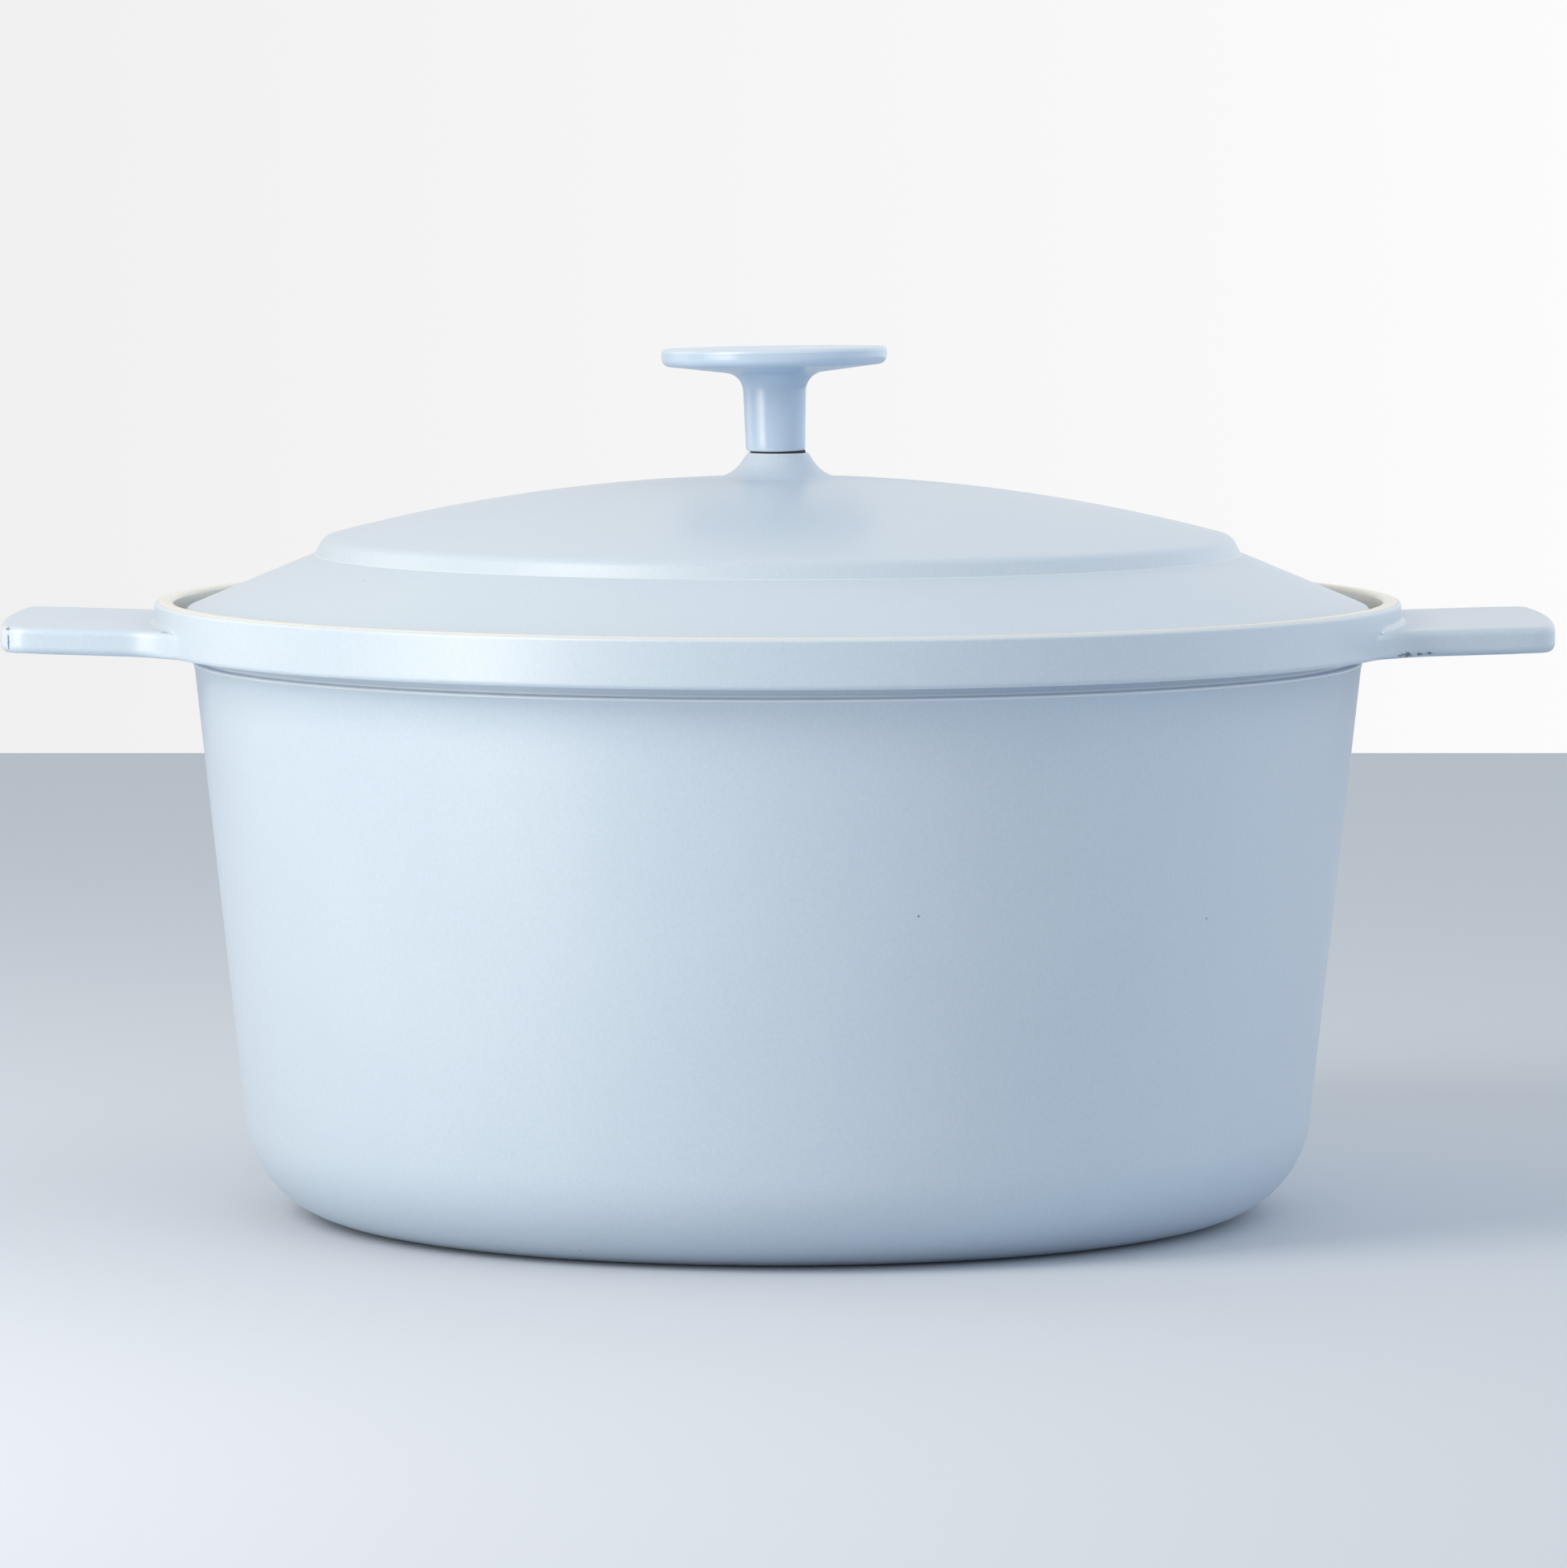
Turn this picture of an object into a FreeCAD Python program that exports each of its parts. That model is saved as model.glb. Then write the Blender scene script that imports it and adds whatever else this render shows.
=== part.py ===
import FreeCAD, Part
import math
import os
import re

import Sketcher

# A round enamelled cast iron dutch oven: a drafted pot with a square collar and two tab
# handles, and a domed lid that drops inside the rim and carries a disc knob.
# Millimetres. +Z is up, +X runs along the handles, and the origin is the centre of the
# foot, on the surface the pot stands on.

# ---------------------------------------------------------------------------------------
# Driving dimensions
# ---------------------------------------------------------------------------------------

SIZES = [
    # pot
    ("pot_height", 132.5, "foot to the top of the rim"),
    ("collar_radius", 134.0, "outside of the collar"),
    ("collar_height", 10.5, "rim top to the collar's underside"),
    ("collar_under_round", 1.0, "lower outer edge of the collar"),
    ("rim_width", 3.6, "iron wall round the lid recess"),
    ("rim_top_round", 0.8, "upper outer edge of the collar"),
    ("neck_height", 2.6, "relieved band under the collar"),
    ("neck_relief", 0.5, "how far that band sits inside the wall"),
    ("collar_overhang", 8.6, "collar's outside to the wall where the band ends"),
    ("wall_draft", 6.1, "draft of the wall, degrees"),
    ("wall_thickness", 3.6, "square to the wall"),
    ("base_thickness", 4.0, "floor of the pot"),
    ("base_corner", 22.5, "outside rounding between wall and floor"),
    ("foot_width", 9.0, "flat ring that the pot stands on"),
    ("foot_recess", 0.8, "how far the middle of the floor is raised"),
    ("seat_depth", 6.8, "rim top to the ledge that the lid rests on"),
    ("seat_corner", 1.0, "inner corner between ledge and rim"),
    ("seat_edge", 1.5, "rounded edge between ledge and cavity"),
    ("enamel", 0.4, "cream enamel skin inside the pot and the lid"),
    # handles
    ("handle_length", 32.5, "collar to the end of a handle"),
    ("handle_width", 73.6, "along the rim"),
    ("handle_thickness", 5.6, "slab of the handle"),
    ("handle_drop", 4.7, "rim top to the handle's top, at the collar"),
    ("handle_tilt", 1.7, "upward tilt, degrees"),
    ("handle_embed", 10.0, "how far the slab runs into the collar"),
    ("handle_corner", 5.5, "corners in plan"),
    ("handle_end_radius", 300.0, "gentle bow of the end"),
    ("handle_edge", 1.5, "rounding of every long edge"),
    # lid
    ("lid_clearance", 2.8, "lid edge to the enamel of the rim, all round"),
    ("lid_sink", 1.75, "rim top down to the top of the lid's edge"),
    ("lid_thickness", 3.4, "square to the skirt and the dome"),
    ("lid_edge_round", 1.0, "upper outer edge of the lid"),
    ("lid_seat_width", 4.5, "ring that rests on the pot's ledge"),
    ("skirt_slope", 22.7, "slope of the skirt, degrees"),
    ("skirt_width", 27.6, "lid's edge to the foot of the step, measured level"),
    ("step_lean", 1.9, "how far the step leans inward"),
    ("step_height", 3.6, "height of the step"),
    ("step_round", 3.0, "rounding where the step meets the dome"),
    ("dome_rise", 12.8, "step to the crown of the dome"),
    ("boss_radius", 6.5, "top of the knob's boss"),
    ("boss_height", 5.2, "crown of the dome to the top of the boss"),
    ("boss_slope", 34.0, "flank of the boss, degrees from upright"),
    ("boss_flare", 8.0, "concave rounding from the boss into the dome"),
    ("pad_margin", 1.6, "flat pad under the boss, round the silicone washer"),
    ("pad_depth", 1.0, "thickness of that pad"),
    # knob and its fixing
    ("gasket_thickness", 0.5, "ring between boss and knob"),
    ("gasket_inset", 0.4, "how far that ring sits inside the stem"),
    ("stem_inset", 0.15, "top of the boss to the foot of the stem"),
    ("stem_head_radius", 6.9, "stem at the disc"),
    ("stem_height", 16.3, "gasket to the underside of the disc"),
    ("stem_foot_round", 0.9, "lower edge of the stem"),
    ("stem_blend", 4.0, "rounding from the stem into the disc"),
    ("disc_radius", 24.3, "knob disc"),
    ("disc_slope", 7.0, "cone under the disc, degrees"),
    ("disc_edge", 3.6, "height of the disc's edge"),
    ("disc_round", 1.4, "rounding of the disc's edge"),
    ("screw_radius", 2.95, "shank of the knob screw"),
    ("screw_grip", 11.0, "length of screw inside the knob"),
    ("screw_hole_spare", 2.0, "depth of the tapped hole beyond the screw"),
    ("thread_clearance", 0.05, "screw to the knob's tapped hole"),
    ("bore_clearance", 0.35, "screw to the hole through the lid"),
    ("head_radius", 5.6, "pan head"),
    ("head_height", 3.4, "pan head"),
    ("head_round", 1.4, "crown edge of the pan head"),
    ("recess_length", 6.0, "cross recess, tip to tip"),
    ("recess_width", 1.1, "cross recess"),
    ("recess_depth", 1.8, "cross recess"),
    ("washer_clearance", 0.2, "screw to the washers"),
    ("seal_margin", 0.4, "silicone washer, round the flat washer"),
    ("seal_thickness", 1.0, "silicone washer"),
    ("flat_washer_radius", 7.0, "steel washer"),
    ("flat_washer_thickness", 1.2, "steel washer"),
    ("spring_washer_inset", 0.2, "edge of the head to the split lock washer"),
    ("spring_washer_thickness", 1.6, "split lock washer"),
    ("spring_washer_gap", 1.0, "width of its split"),
]

doc = FreeCAD.newDocument("DutchOven")
sheet = doc.addObject("Spreadsheet::Sheet", "Sizes")
for row, (alias, value, note) in enumerate(SIZES, start=1):
    sheet.set(f"A{row}", note)
    sheet.set(f"B{row}", str(value))
    sheet.setAlias(f"B{row}", alias)
doc.recompute()

ALIASES = re.compile(r"\b(" + "|".join(alias for alias, _, _ in SIZES) + r")\b")


def bound(expression):
    """The expression with every size named as a cell of the sheet."""
    return ALIASES.sub(r"Sizes.\1", expression)


def number(expression):
    """What the expression comes to now, in millimetres."""
    return float(sheet.evalExpression(bound(expression)))


# ---------------------------------------------------------------------------------------
# Heights and radii that follow from the driving dimensions
# ---------------------------------------------------------------------------------------

COLLAR_UNDER = "pot_height - collar_height"
NECK_FOOT = f"({COLLAR_UNDER} - neck_height)"
SEAT = "(pot_height - seat_depth)"
RIM_INSIDE = "(collar_radius - rim_width)"
NECK_RADIUS = "(collar_radius - collar_overhang)"
LID_RADIUS = f"({RIM_INSIDE} - enamel - lid_clearance)"
STEP_RADIUS = f"({LID_RADIUS} - skirt_width)"
LID_EDGE_TOP = "(pot_height - lid_sink)"
SEAT_INSIDE = f"({LID_RADIUS} - lid_seat_width)"
STEP_FOOT = f"({LID_EDGE_TOP} + skirt_width * tan(skirt_slope))"
DOME_EDGE = f"({STEP_FOOT} + step_height)"
DOME_RADIUS = f"({STEP_RADIUS} - step_lean)"
CROWN = f"({DOME_EDGE} + dome_rise)"
DOME_SPHERE = f"(({DOME_RADIUS} ^ 2 + dome_rise ^ 2) / (2 * dome_rise))"
DOME_CENTRE = f"({CROWN} - {DOME_SPHERE})"
BOSS_TOP = f"({CROWN} + boss_height)"
BOSS_FOOT_RADIUS = "(boss_radius + boss_height * tan(boss_slope))"
BORE_RADIUS = "(screw_radius + bore_clearance)"
PAD_FACE = f"({CROWN} - lid_thickness - pad_depth)"
KNOB_FOOT = f"({BOSS_TOP} + gasket_thickness)"
SEAL_TOP = f"({PAD_FACE} - enamel)"
FLAT_WASHER_TOP = f"({SEAL_TOP} - seal_thickness)"
SPRING_WASHER_TOP = f"({FLAT_WASHER_TOP} - flat_washer_thickness)"
HEAD_TOP = f"({SPRING_WASHER_TOP} - spring_washer_thickness)"
WASHER_BORE = "(screw_radius + washer_clearance)"
SEAL_RADIUS = "(flat_washer_radius + seal_margin)"
PAD_RADIUS = f"({SEAL_RADIUS} + pad_margin)"
STEM_FOOT_RADIUS = "(boss_radius - stem_inset)"
SPRING_WASHER_RADIUS = "(head_radius - spring_washer_inset)"


def wall_radius(height, inset="0"):
    """Radius of the drafted wall's outside at a height, less an inset square to it."""
    rise = f"({height} - {NECK_FOOT})"
    return f"({NECK_RADIUS} + {rise} * tan(wall_draft) - ({inset}) / cos(wall_draft))"


def under_skirt(radius, skin="0"):
    """Height of the skirt's underside at a radius, or of a skin that lines it."""
    drop = f"(lid_thickness + {skin}) / cos(skirt_slope)"
    return f"({LID_EDGE_TOP} + ({LID_RADIUS} - ({radius})) * tan(skirt_slope) - {drop})"


def on_dome(radius, inset="0"):
    """Height of the dome at a radius, on the sphere an inset below its outside."""
    return f"({DOME_CENTRE} + sqrt(({DOME_SPHERE} - ({inset})) ^ 2 - ({radius}) ^ 2))"


# ---------------------------------------------------------------------------------------
# Sketch and feature helpers
# ---------------------------------------------------------------------------------------


def plane(body, role):
    """One of the body's own origin planes."""
    return next(f for f in body.Origin.OriginFeatures if f.Role == role)


def new_sketch(body, role, name):
    sketch = body.newObject("Sketcher::SketchObject", name)
    sketch.AttachmentSupport = [(plane(body, role), "")]
    sketch.MapMode = "FlatFace"
    return sketch


def bind(sketch, constraint, name, expression):
    """Adds a dimension and ties it to the sheet."""
    index = sketch.addConstraint(constraint)
    sketch.renameConstraint(index, name)
    sketch.setExpression(f"Constraints.{name}", bound(expression))


def place(sketch, geometry, end, tag, across, up):
    """Fixes a point of the sketch at (across, up); a zero puts it on the axis itself."""
    for letter, kind, expression, axis in (
        ("x", "DistanceX", across, -2),
        ("y", "DistanceY", up, -1),
    ):
        if expression == "0":
            sketch.addConstraint(Sketcher.Constraint("PointOnObject", geometry, end, axis))
        else:
            datum = Sketcher.Constraint(kind, -1, 1, geometry, end, number(expression))
            bind(sketch, datum, f"{letter}{tag}", expression)


def outline(sketch, corners):
    """A closed outline through corners (across, up[, rounding][, "sphere"]).

    A rounding puts a tangent arc in place of a corner between two straight sides.
    "sphere" makes the side that follows the corner an arc centred on the upright axis.
    """
    count = len(corners)
    sharp = [FreeCAD.Vector(number(c[0]), number(c[1]), 0) for c in corners]
    rounds = [next((e for e in c[2:] if e != "sphere"), None) for c in corners]
    spheres = ["sphere" in c[2:] for c in corners]

    def reach(i):
        """How far the rounding of corner i takes from each of its sides."""
        if rounds[i] is None:
            return 0.0
        back = (sharp[i - 1] - sharp[i]).normalize()
        ahead = (sharp[(i + 1) % count] - sharp[i]).normalize()
        return number(rounds[i]) / math.tan(back.getAngle(ahead) / 2)

    sides = []
    for i in range(count):
        j = (i + 1) % count
        if spheres[i]:
            sides.append(sphere_side(sketch, sharp[i], sharp[j]))
            continue
        along = (sharp[j] - sharp[i]).normalize()
        start, end = sharp[i] + along * reach(i), sharp[j] - along * reach(j)
        sides.append((sketch.addGeometry(Part.LineSegment(start, end)), 1, 2))

    for i in range(count):
        before, before_end = sides[i - 1][0], sides[i - 1][2]
        after, after_start = sides[i][0], sides[i][1]
        across, up = corners[i][:2]
        if rounds[i] is None:
            sketch.addConstraint(
                Sketcher.Constraint("Coincident", before, before_end, after, after_start)
            )
            place(sketch, after, after_start, i, across, up)
            continue
        arc, first, last = corner_arc(sketch, sharp, i, reach(i), number(rounds[i]))
        sketch.addConstraint(Sketcher.Constraint("Tangent", before, before_end, arc, first))
        sketch.addConstraint(Sketcher.Constraint("Tangent", arc, last, after, after_start))
        bind(sketch, Sketcher.Constraint("Radius", arc, number(rounds[i])), f"round{i}", rounds[i])
        mark = sketch.addGeometry(Part.Point(sharp[i]), True)
        sketch.addConstraint(Sketcher.Constraint("PointOnObject", mark, 1, before))
        sketch.addConstraint(Sketcher.Constraint("PointOnObject", mark, 1, after))
        place(sketch, mark, 1, i, across, up)


def sphere_side(sketch, start, end):
    """An arc from start to end centred on the upright axis, as (geometry, start, end)."""
    centre_y = (start.x**2 + start.y**2 - end.x**2 - end.y**2) / (2 * (start.y - end.y))
    centre = FreeCAD.Vector(0, centre_y, 0)
    circle = Part.Circle(centre, FreeCAD.Vector(0, 0, 1), (start - centre).Length)
    angles = [math.atan2(p.y - centre_y, p.x) for p in (start, end)]
    arc = sketch.addGeometry(Part.ArcOfCircle(circle, min(angles), max(angles)))
    sketch.addConstraint(Sketcher.Constraint("PointOnObject", arc, 3, -2))
    return (arc, 1, 2) if angles[0] < angles[1] else (arc, 2, 1)


def corner_arc(sketch, sharp, i, reach, radius):
    """The tangent arc at corner i, as (geometry, end met first, end met last)."""
    back = (sharp[i - 1] - sharp[i]).normalize()
    ahead = (sharp[(i + 1) % len(sharp)] - sharp[i]).normalize()
    first, last = sharp[i] + back * reach, sharp[i] + ahead * reach
    to_centre = (back + ahead).normalize()
    centre = sharp[i] + to_centre * math.hypot(reach, radius)
    circle = Part.Circle(centre, FreeCAD.Vector(0, 0, 1), radius)
    start, end = (circle.parameter(p) for p in (first, last))
    turns_left = back.cross(ahead).z < 0
    if not turns_left:
        start, end = end, start
    if end < start:
        end += 2 * math.pi
    arc = sketch.addGeometry(Part.ArcOfCircle(circle, start, end))
    return (arc, 1, 2) if turns_left else (arc, 2, 1)


def revolved_body(label, corners):
    """A body turned round the upright axis from a half section."""
    body = doc.addObject("PartDesign::Body", label)
    body.Label = label
    sketch = new_sketch(body, "XZ_Plane", f"{label}_section")
    outline(sketch, corners)
    turn = body.newObject("PartDesign::Revolution", f"{label}_turned")
    turn.Profile = sketch
    turn.ReferenceAxis = (sketch, ["V_Axis"])
    turn.Angle = 360
    sketch.Visibility = False
    doc.recompute()
    return body


def ring_edges(shape, radius, height):
    """Names of the full circles of a radius and height round the upright axis."""
    found = []
    for index, edge in enumerate(shape.Edges, start=1):
        circle = edge.Curve
        if not isinstance(circle, Part.Circle):
            continue
        if math.isclose(circle.Radius, radius, abs_tol=0.01) and math.isclose(
            circle.Center.z, height, abs_tol=0.01
        ):
            found.append(f"Edge{index}")
    return found


def round_rings(body, name, rings, radius):
    """Rounds the named rings, each (radius, height), of the body's last feature."""
    shape = body.Tip.Shape
    edges = [e for r, z in rings for e in ring_edges(shape, number(r), number(z))]
    if len(edges) != len(rings):
        raise RuntimeError(f"{name}: found {len(edges)} rings of {len(rings)}")
    return round_edges(body, name, edges, radius)


def round_edges(body, name, edges, radius):
    fillet = body.newObject("PartDesign::Fillet", name)
    fillet.Base = (previous(body, fillet), edges)
    fillet.setExpression("Radius", bound(radius))
    doc.recompute()
    return fillet


def previous(body, feature):
    """The solid feature that comes before this one in the body."""
    solids = [f for f in body.Group if f.isDerivedFrom("PartDesign::Feature")]
    return solids[solids.index(feature) - 1]


def washer(label, outside, inside, top, thickness):
    """A flat ring whose upper face is at a height."""
    return revolved_body(
        label,
        [
            (inside, f"{top} - {thickness}"),
            (outside, f"{top} - {thickness}"),
            (outside, top),
            (inside, top),
        ],
    )


# ---------------------------------------------------------------------------------------
# Pot
# ---------------------------------------------------------------------------------------


def pot_shell():
    """The casting's turned part: foot, drafted wall, relieved neck, collar, lid ledge."""
    rim_iron = "(pot_height - enamel)"
    foot_inside = f"({wall_radius('0')} - base_corner * tan(45 - wall_draft / 2) - foot_width)"
    floor, ledge = "base_thickness", f"({SEAT} - enamel)"
    return revolved_body(
        "pot_shell",
        [
            ("0", "foot_recess"),
            (f"{foot_inside} - foot_recess", "foot_recess"),
            (foot_inside, "0"),
            (wall_radius("0"), "0", "base_corner"),
            (NECK_RADIUS, NECK_FOOT),
            (f"{NECK_RADIUS} - neck_relief", f"{NECK_FOOT} + neck_relief / 2"),
            (f"{NECK_RADIUS} - neck_relief", COLLAR_UNDER),
            ("collar_radius", COLLAR_UNDER, "collar_under_round"),
            ("collar_radius", rim_iron, "rim_top_round"),
            (RIM_INSIDE, rim_iron),
            (RIM_INSIDE, ledge, "seat_corner + enamel"),
            (wall_radius(ledge, "wall_thickness"), ledge, "seat_edge"),
            (wall_radius(floor, "wall_thickness"), floor, "base_corner - wall_thickness"),
            ("0", floor),
        ],
    )


def handle_slab():
    """One tab handle: a flat slab with round corners, tilted up a little."""
    body = doc.addObject("PartDesign::Body", "handle_slab")
    sketch = new_sketch(body, "XY_Plane", "handle_plan")
    sketch.AttachmentOffset = FreeCAD.Placement(
        FreeCAD.Vector(), FreeCAD.Rotation(FreeCAD.Vector(0, -1, 0), 1)
    )
    root = "pot_height - handle_drop - handle_thickness - handle_embed * tan(handle_tilt)"
    sketch.setExpression("AttachmentOffset.Base.x", bound("collar_radius - handle_embed"))
    sketch.setExpression("AttachmentOffset.Base.z", bound(root))
    sketch.setExpression("AttachmentOffset.Rotation.Angle", bound("handle_tilt"))

    half = number("handle_width / 2")
    bow = "(handle_end_radius - sqrt(handle_end_radius ^ 2 - handle_width ^ 2 / 4))"
    side = f"(handle_length + handle_embed - {bow})"
    length, radius = number(side), number("handle_end_radius")
    centre = FreeCAD.Vector(length - math.sqrt(radius**2 - half**2), 0, 0)
    swing = math.asin(half / radius)
    end_circle = Part.Circle(centre, FreeCAD.Vector(0, 0, 1), radius)
    corner = [FreeCAD.Vector(x, y, 0) for x, y in ((0, -half), (length, -half), (length, half), (0, half))]
    near = sketch.addGeometry(Part.LineSegment(corner[0], corner[1]))
    end = sketch.addGeometry(Part.ArcOfCircle(end_circle, -swing, swing))
    far = sketch.addGeometry(Part.LineSegment(corner[2], corner[3]))
    inner = sketch.addGeometry(Part.LineSegment(corner[3], corner[0]))
    for first, second in ((near, end), (end, far), (far, inner), (inner, near)):
        sketch.addConstraint(Sketcher.Constraint("Coincident", first, 2, second, 1))
    sketch.addConstraint(Sketcher.Constraint("Horizontal", near))
    sketch.addConstraint(Sketcher.Constraint("Horizontal", far))
    sketch.addConstraint(Sketcher.Constraint("PointOnObject", inner, 1, -2))
    sketch.addConstraint(Sketcher.Constraint("Symmetric", inner, 1, inner, 2, -1))
    sketch.addConstraint(Sketcher.Constraint("PointOnObject", end, 3, -1))
    width = Sketcher.Constraint("DistanceY", inner, 2, inner, 1, 2 * half)
    bind(sketch, width, "width", "handle_width")
    bind(sketch, Sketcher.Constraint("DistanceX", -1, 1, near, 2, length), "length", side)
    bind(sketch, Sketcher.Constraint("Radius", end, radius), "end_bow", "handle_end_radius")

    pad = body.newObject("PartDesign::Pad", "handle_pad")
    pad.Profile = sketch
    pad.setExpression("Length", bound("handle_thickness"))
    sketch.Visibility = False
    doc.recompute()

    tall = number("handle_thickness")
    outer_x = number("collar_radius")
    corners = [
        f"Edge{i}"
        for i, e in enumerate(pad.Shape.Edges, start=1)
        if math.isclose(e.Length, tall, rel_tol=1e-6) and e.CenterOfMass.x > outer_x
    ]
    round_edges(body, "handle_corners", corners, "handle_corner")
    cornered = body.Tip.Shape
    top_and_bottom = sorted(cornered.Faces, key=lambda face: face.Area)[-2:]
    long_edges = [
        f"Edge{i}"
        for i, e in enumerate(cornered.Edges, start=1)
        if any(e.isSame(other) for face in top_and_bottom for other in face.Edges)
    ]
    round_edges(body, "handle_edges", long_edges, "handle_edge")
    return body


def pot_casting(shell, slab):
    """Pot and handles cast in one: the slabs end half way into the collar's wall."""
    mirrored = doc.addObject("Part::Mirroring", "handle_slab_opposite")
    mirrored.Source = slab
    mirrored.Normal = FreeCAD.Vector(1, 0, 0)
    slabs = doc.addObject("Part::MultiFuse", "handle_slabs")
    slabs.Shapes = [slab, mirrored]
    core = doc.addObject("Part::Cylinder", "handle_root_cut")
    core.setExpression("Radius", bound("collar_radius - rim_width / 2"))
    core.setExpression("Height", bound("pot_height"))
    tabs = doc.addObject("Part::Cut", "handle_tabs")
    tabs.Base, tabs.Tool = slabs, core
    casting = doc.addObject("Part::MultiFuse", "pot_casting")
    casting.Shapes = [shell, tabs]
    casting.Label = "pot_casting"
    doc.recompute()
    return casting


def pot_lining():
    """Cream enamel on the cavity, the lid ledge, the inside of the rim and its top."""
    floor, floor_face = "base_thickness", "(base_thickness + enamel)"
    ledge = f"({SEAT} - enamel)"
    rim_iron, rim_edge = "(pot_height - enamel)", "(collar_radius - rim_top_round)"
    rim_face = f"({RIM_INSIDE} - enamel)"
    iron_corner = "base_corner - wall_thickness"
    return revolved_body(
        "pot_lining",
        [
            ("0", floor),
            (wall_radius(floor, "wall_thickness"), floor, iron_corner),
            (wall_radius(ledge, "wall_thickness"), ledge, "seat_edge"),
            (RIM_INSIDE, ledge, "seat_corner + enamel"),
            (RIM_INSIDE, rim_iron),
            (rim_edge, rim_iron),
            (rim_edge, "pot_height"),
            (rim_face, "pot_height", "rim_top_round"),
            (rim_face, SEAT, "seat_corner"),
            (wall_radius(SEAT, "wall_thickness + enamel"), SEAT, "seat_edge + enamel"),
            (
                wall_radius(floor_face, "wall_thickness + enamel"),
                floor_face,
                f"{iron_corner} - enamel",
            ),
            ("0", floor_face),
        ],
    )


# ---------------------------------------------------------------------------------------
# Lid
# ---------------------------------------------------------------------------------------

INSIDE_STEP = f"({DOME_RADIUS} - lid_thickness)"
INSIDE_STEP_FOOT = f"({STEP_RADIUS} - lid_thickness)"


def lid_casting():
    """The domed lid, hollow underneath, with a boss and a screw hole at its crown."""
    bead = f"({SEAT} + enamel)"
    body = revolved_body(
        "lid_casting",
        [
            (BORE_RADIUS, PAD_FACE),
            (PAD_RADIUS, PAD_FACE),
            (PAD_RADIUS, on_dome(PAD_RADIUS, "lid_thickness"), "sphere"),
            (INSIDE_STEP, on_dome(INSIDE_STEP, "lid_thickness")),
            (INSIDE_STEP_FOOT, under_skirt(INSIDE_STEP_FOOT)),
            (SEAT_INSIDE, under_skirt(SEAT_INSIDE)),
            (SEAT_INSIDE, bead),
            (LID_RADIUS, bead),
            (LID_RADIUS, LID_EDGE_TOP, "lid_edge_round"),
            (STEP_RADIUS, STEP_FOOT),
            (DOME_RADIUS, DOME_EDGE, "sphere"),
            (BOSS_FOOT_RADIUS, on_dome(BOSS_FOOT_RADIUS)),
            ("boss_radius", BOSS_TOP),
            (BORE_RADIUS, BOSS_TOP),
        ],
    )
    round_rings(body, "step_crest", [(DOME_RADIUS, DOME_EDGE)], "step_round")
    boss_foot = [(BOSS_FOOT_RADIUS, on_dome(BOSS_FOOT_RADIUS))]
    round_rings(body, "boss_foot", boss_foot, "boss_flare")
    return body


def lid_lining():
    """Cream enamel on the whole underside of the lid."""
    bead = f"({SEAT} + enamel)"
    skin, inner = "enamel", "lid_thickness + enamel"
    dome_in = f"({INSIDE_STEP} - enamel)"
    foot_in = f"({INSIDE_STEP_FOOT} - enamel)"
    bead_in = f"({SEAT_INSIDE} - enamel)"
    pad_in = f"({PAD_RADIUS} + enamel)"
    return revolved_body(
        "lid_lining",
        [
            (BORE_RADIUS, SEAL_TOP),
            (pad_in, SEAL_TOP),
            (pad_in, on_dome(pad_in, inner), "sphere"),
            (dome_in, on_dome(dome_in, inner)),
            (foot_in, under_skirt(foot_in, skin)),
            (bead_in, under_skirt(bead_in, skin)),
            (bead_in, SEAT),
            (LID_RADIUS, SEAT),
            (LID_RADIUS, bead),
            (SEAT_INSIDE, bead),
            (SEAT_INSIDE, under_skirt(SEAT_INSIDE)),
            (INSIDE_STEP_FOOT, under_skirt(INSIDE_STEP_FOOT)),
            (INSIDE_STEP, on_dome(INSIDE_STEP, "lid_thickness"), "sphere"),
            (PAD_RADIUS, on_dome(PAD_RADIUS, "lid_thickness")),
            (PAD_RADIUS, PAD_FACE),
            (BORE_RADIUS, PAD_FACE),
        ],
    )


# ---------------------------------------------------------------------------------------
# Knob and its fixing
# ---------------------------------------------------------------------------------------


def knob():
    """A disc on a slim stem, tapped from below."""
    hole = "(screw_radius + thread_clearance)"
    hole_top = f"({KNOB_FOOT} + screw_grip + screw_hole_spare)"
    disc_under = f"({KNOB_FOOT} + stem_height)"
    edge_foot = f"({disc_under} + (disc_radius - stem_head_radius) * tan(disc_slope))"
    top = f"({edge_foot} + disc_edge)"
    return revolved_body(
        "knob",
        [
            (hole, KNOB_FOOT),
            (STEM_FOOT_RADIUS, KNOB_FOOT, "stem_foot_round"),
            ("stem_head_radius", disc_under, "stem_blend"),
            ("disc_radius", edge_foot, "disc_round"),
            ("disc_radius", top, "disc_round"),
            ("0", top),
            ("0", hole_top),
            (hole, hole_top),
        ],
    )


def knob_gasket():
    """Thin dark ring in the seam between boss and stem."""
    outside = f"{STEM_FOOT_RADIUS} - gasket_inset"
    return washer("knob_gasket", outside, BORE_RADIUS, KNOB_FOOT, "gasket_thickness")


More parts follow.
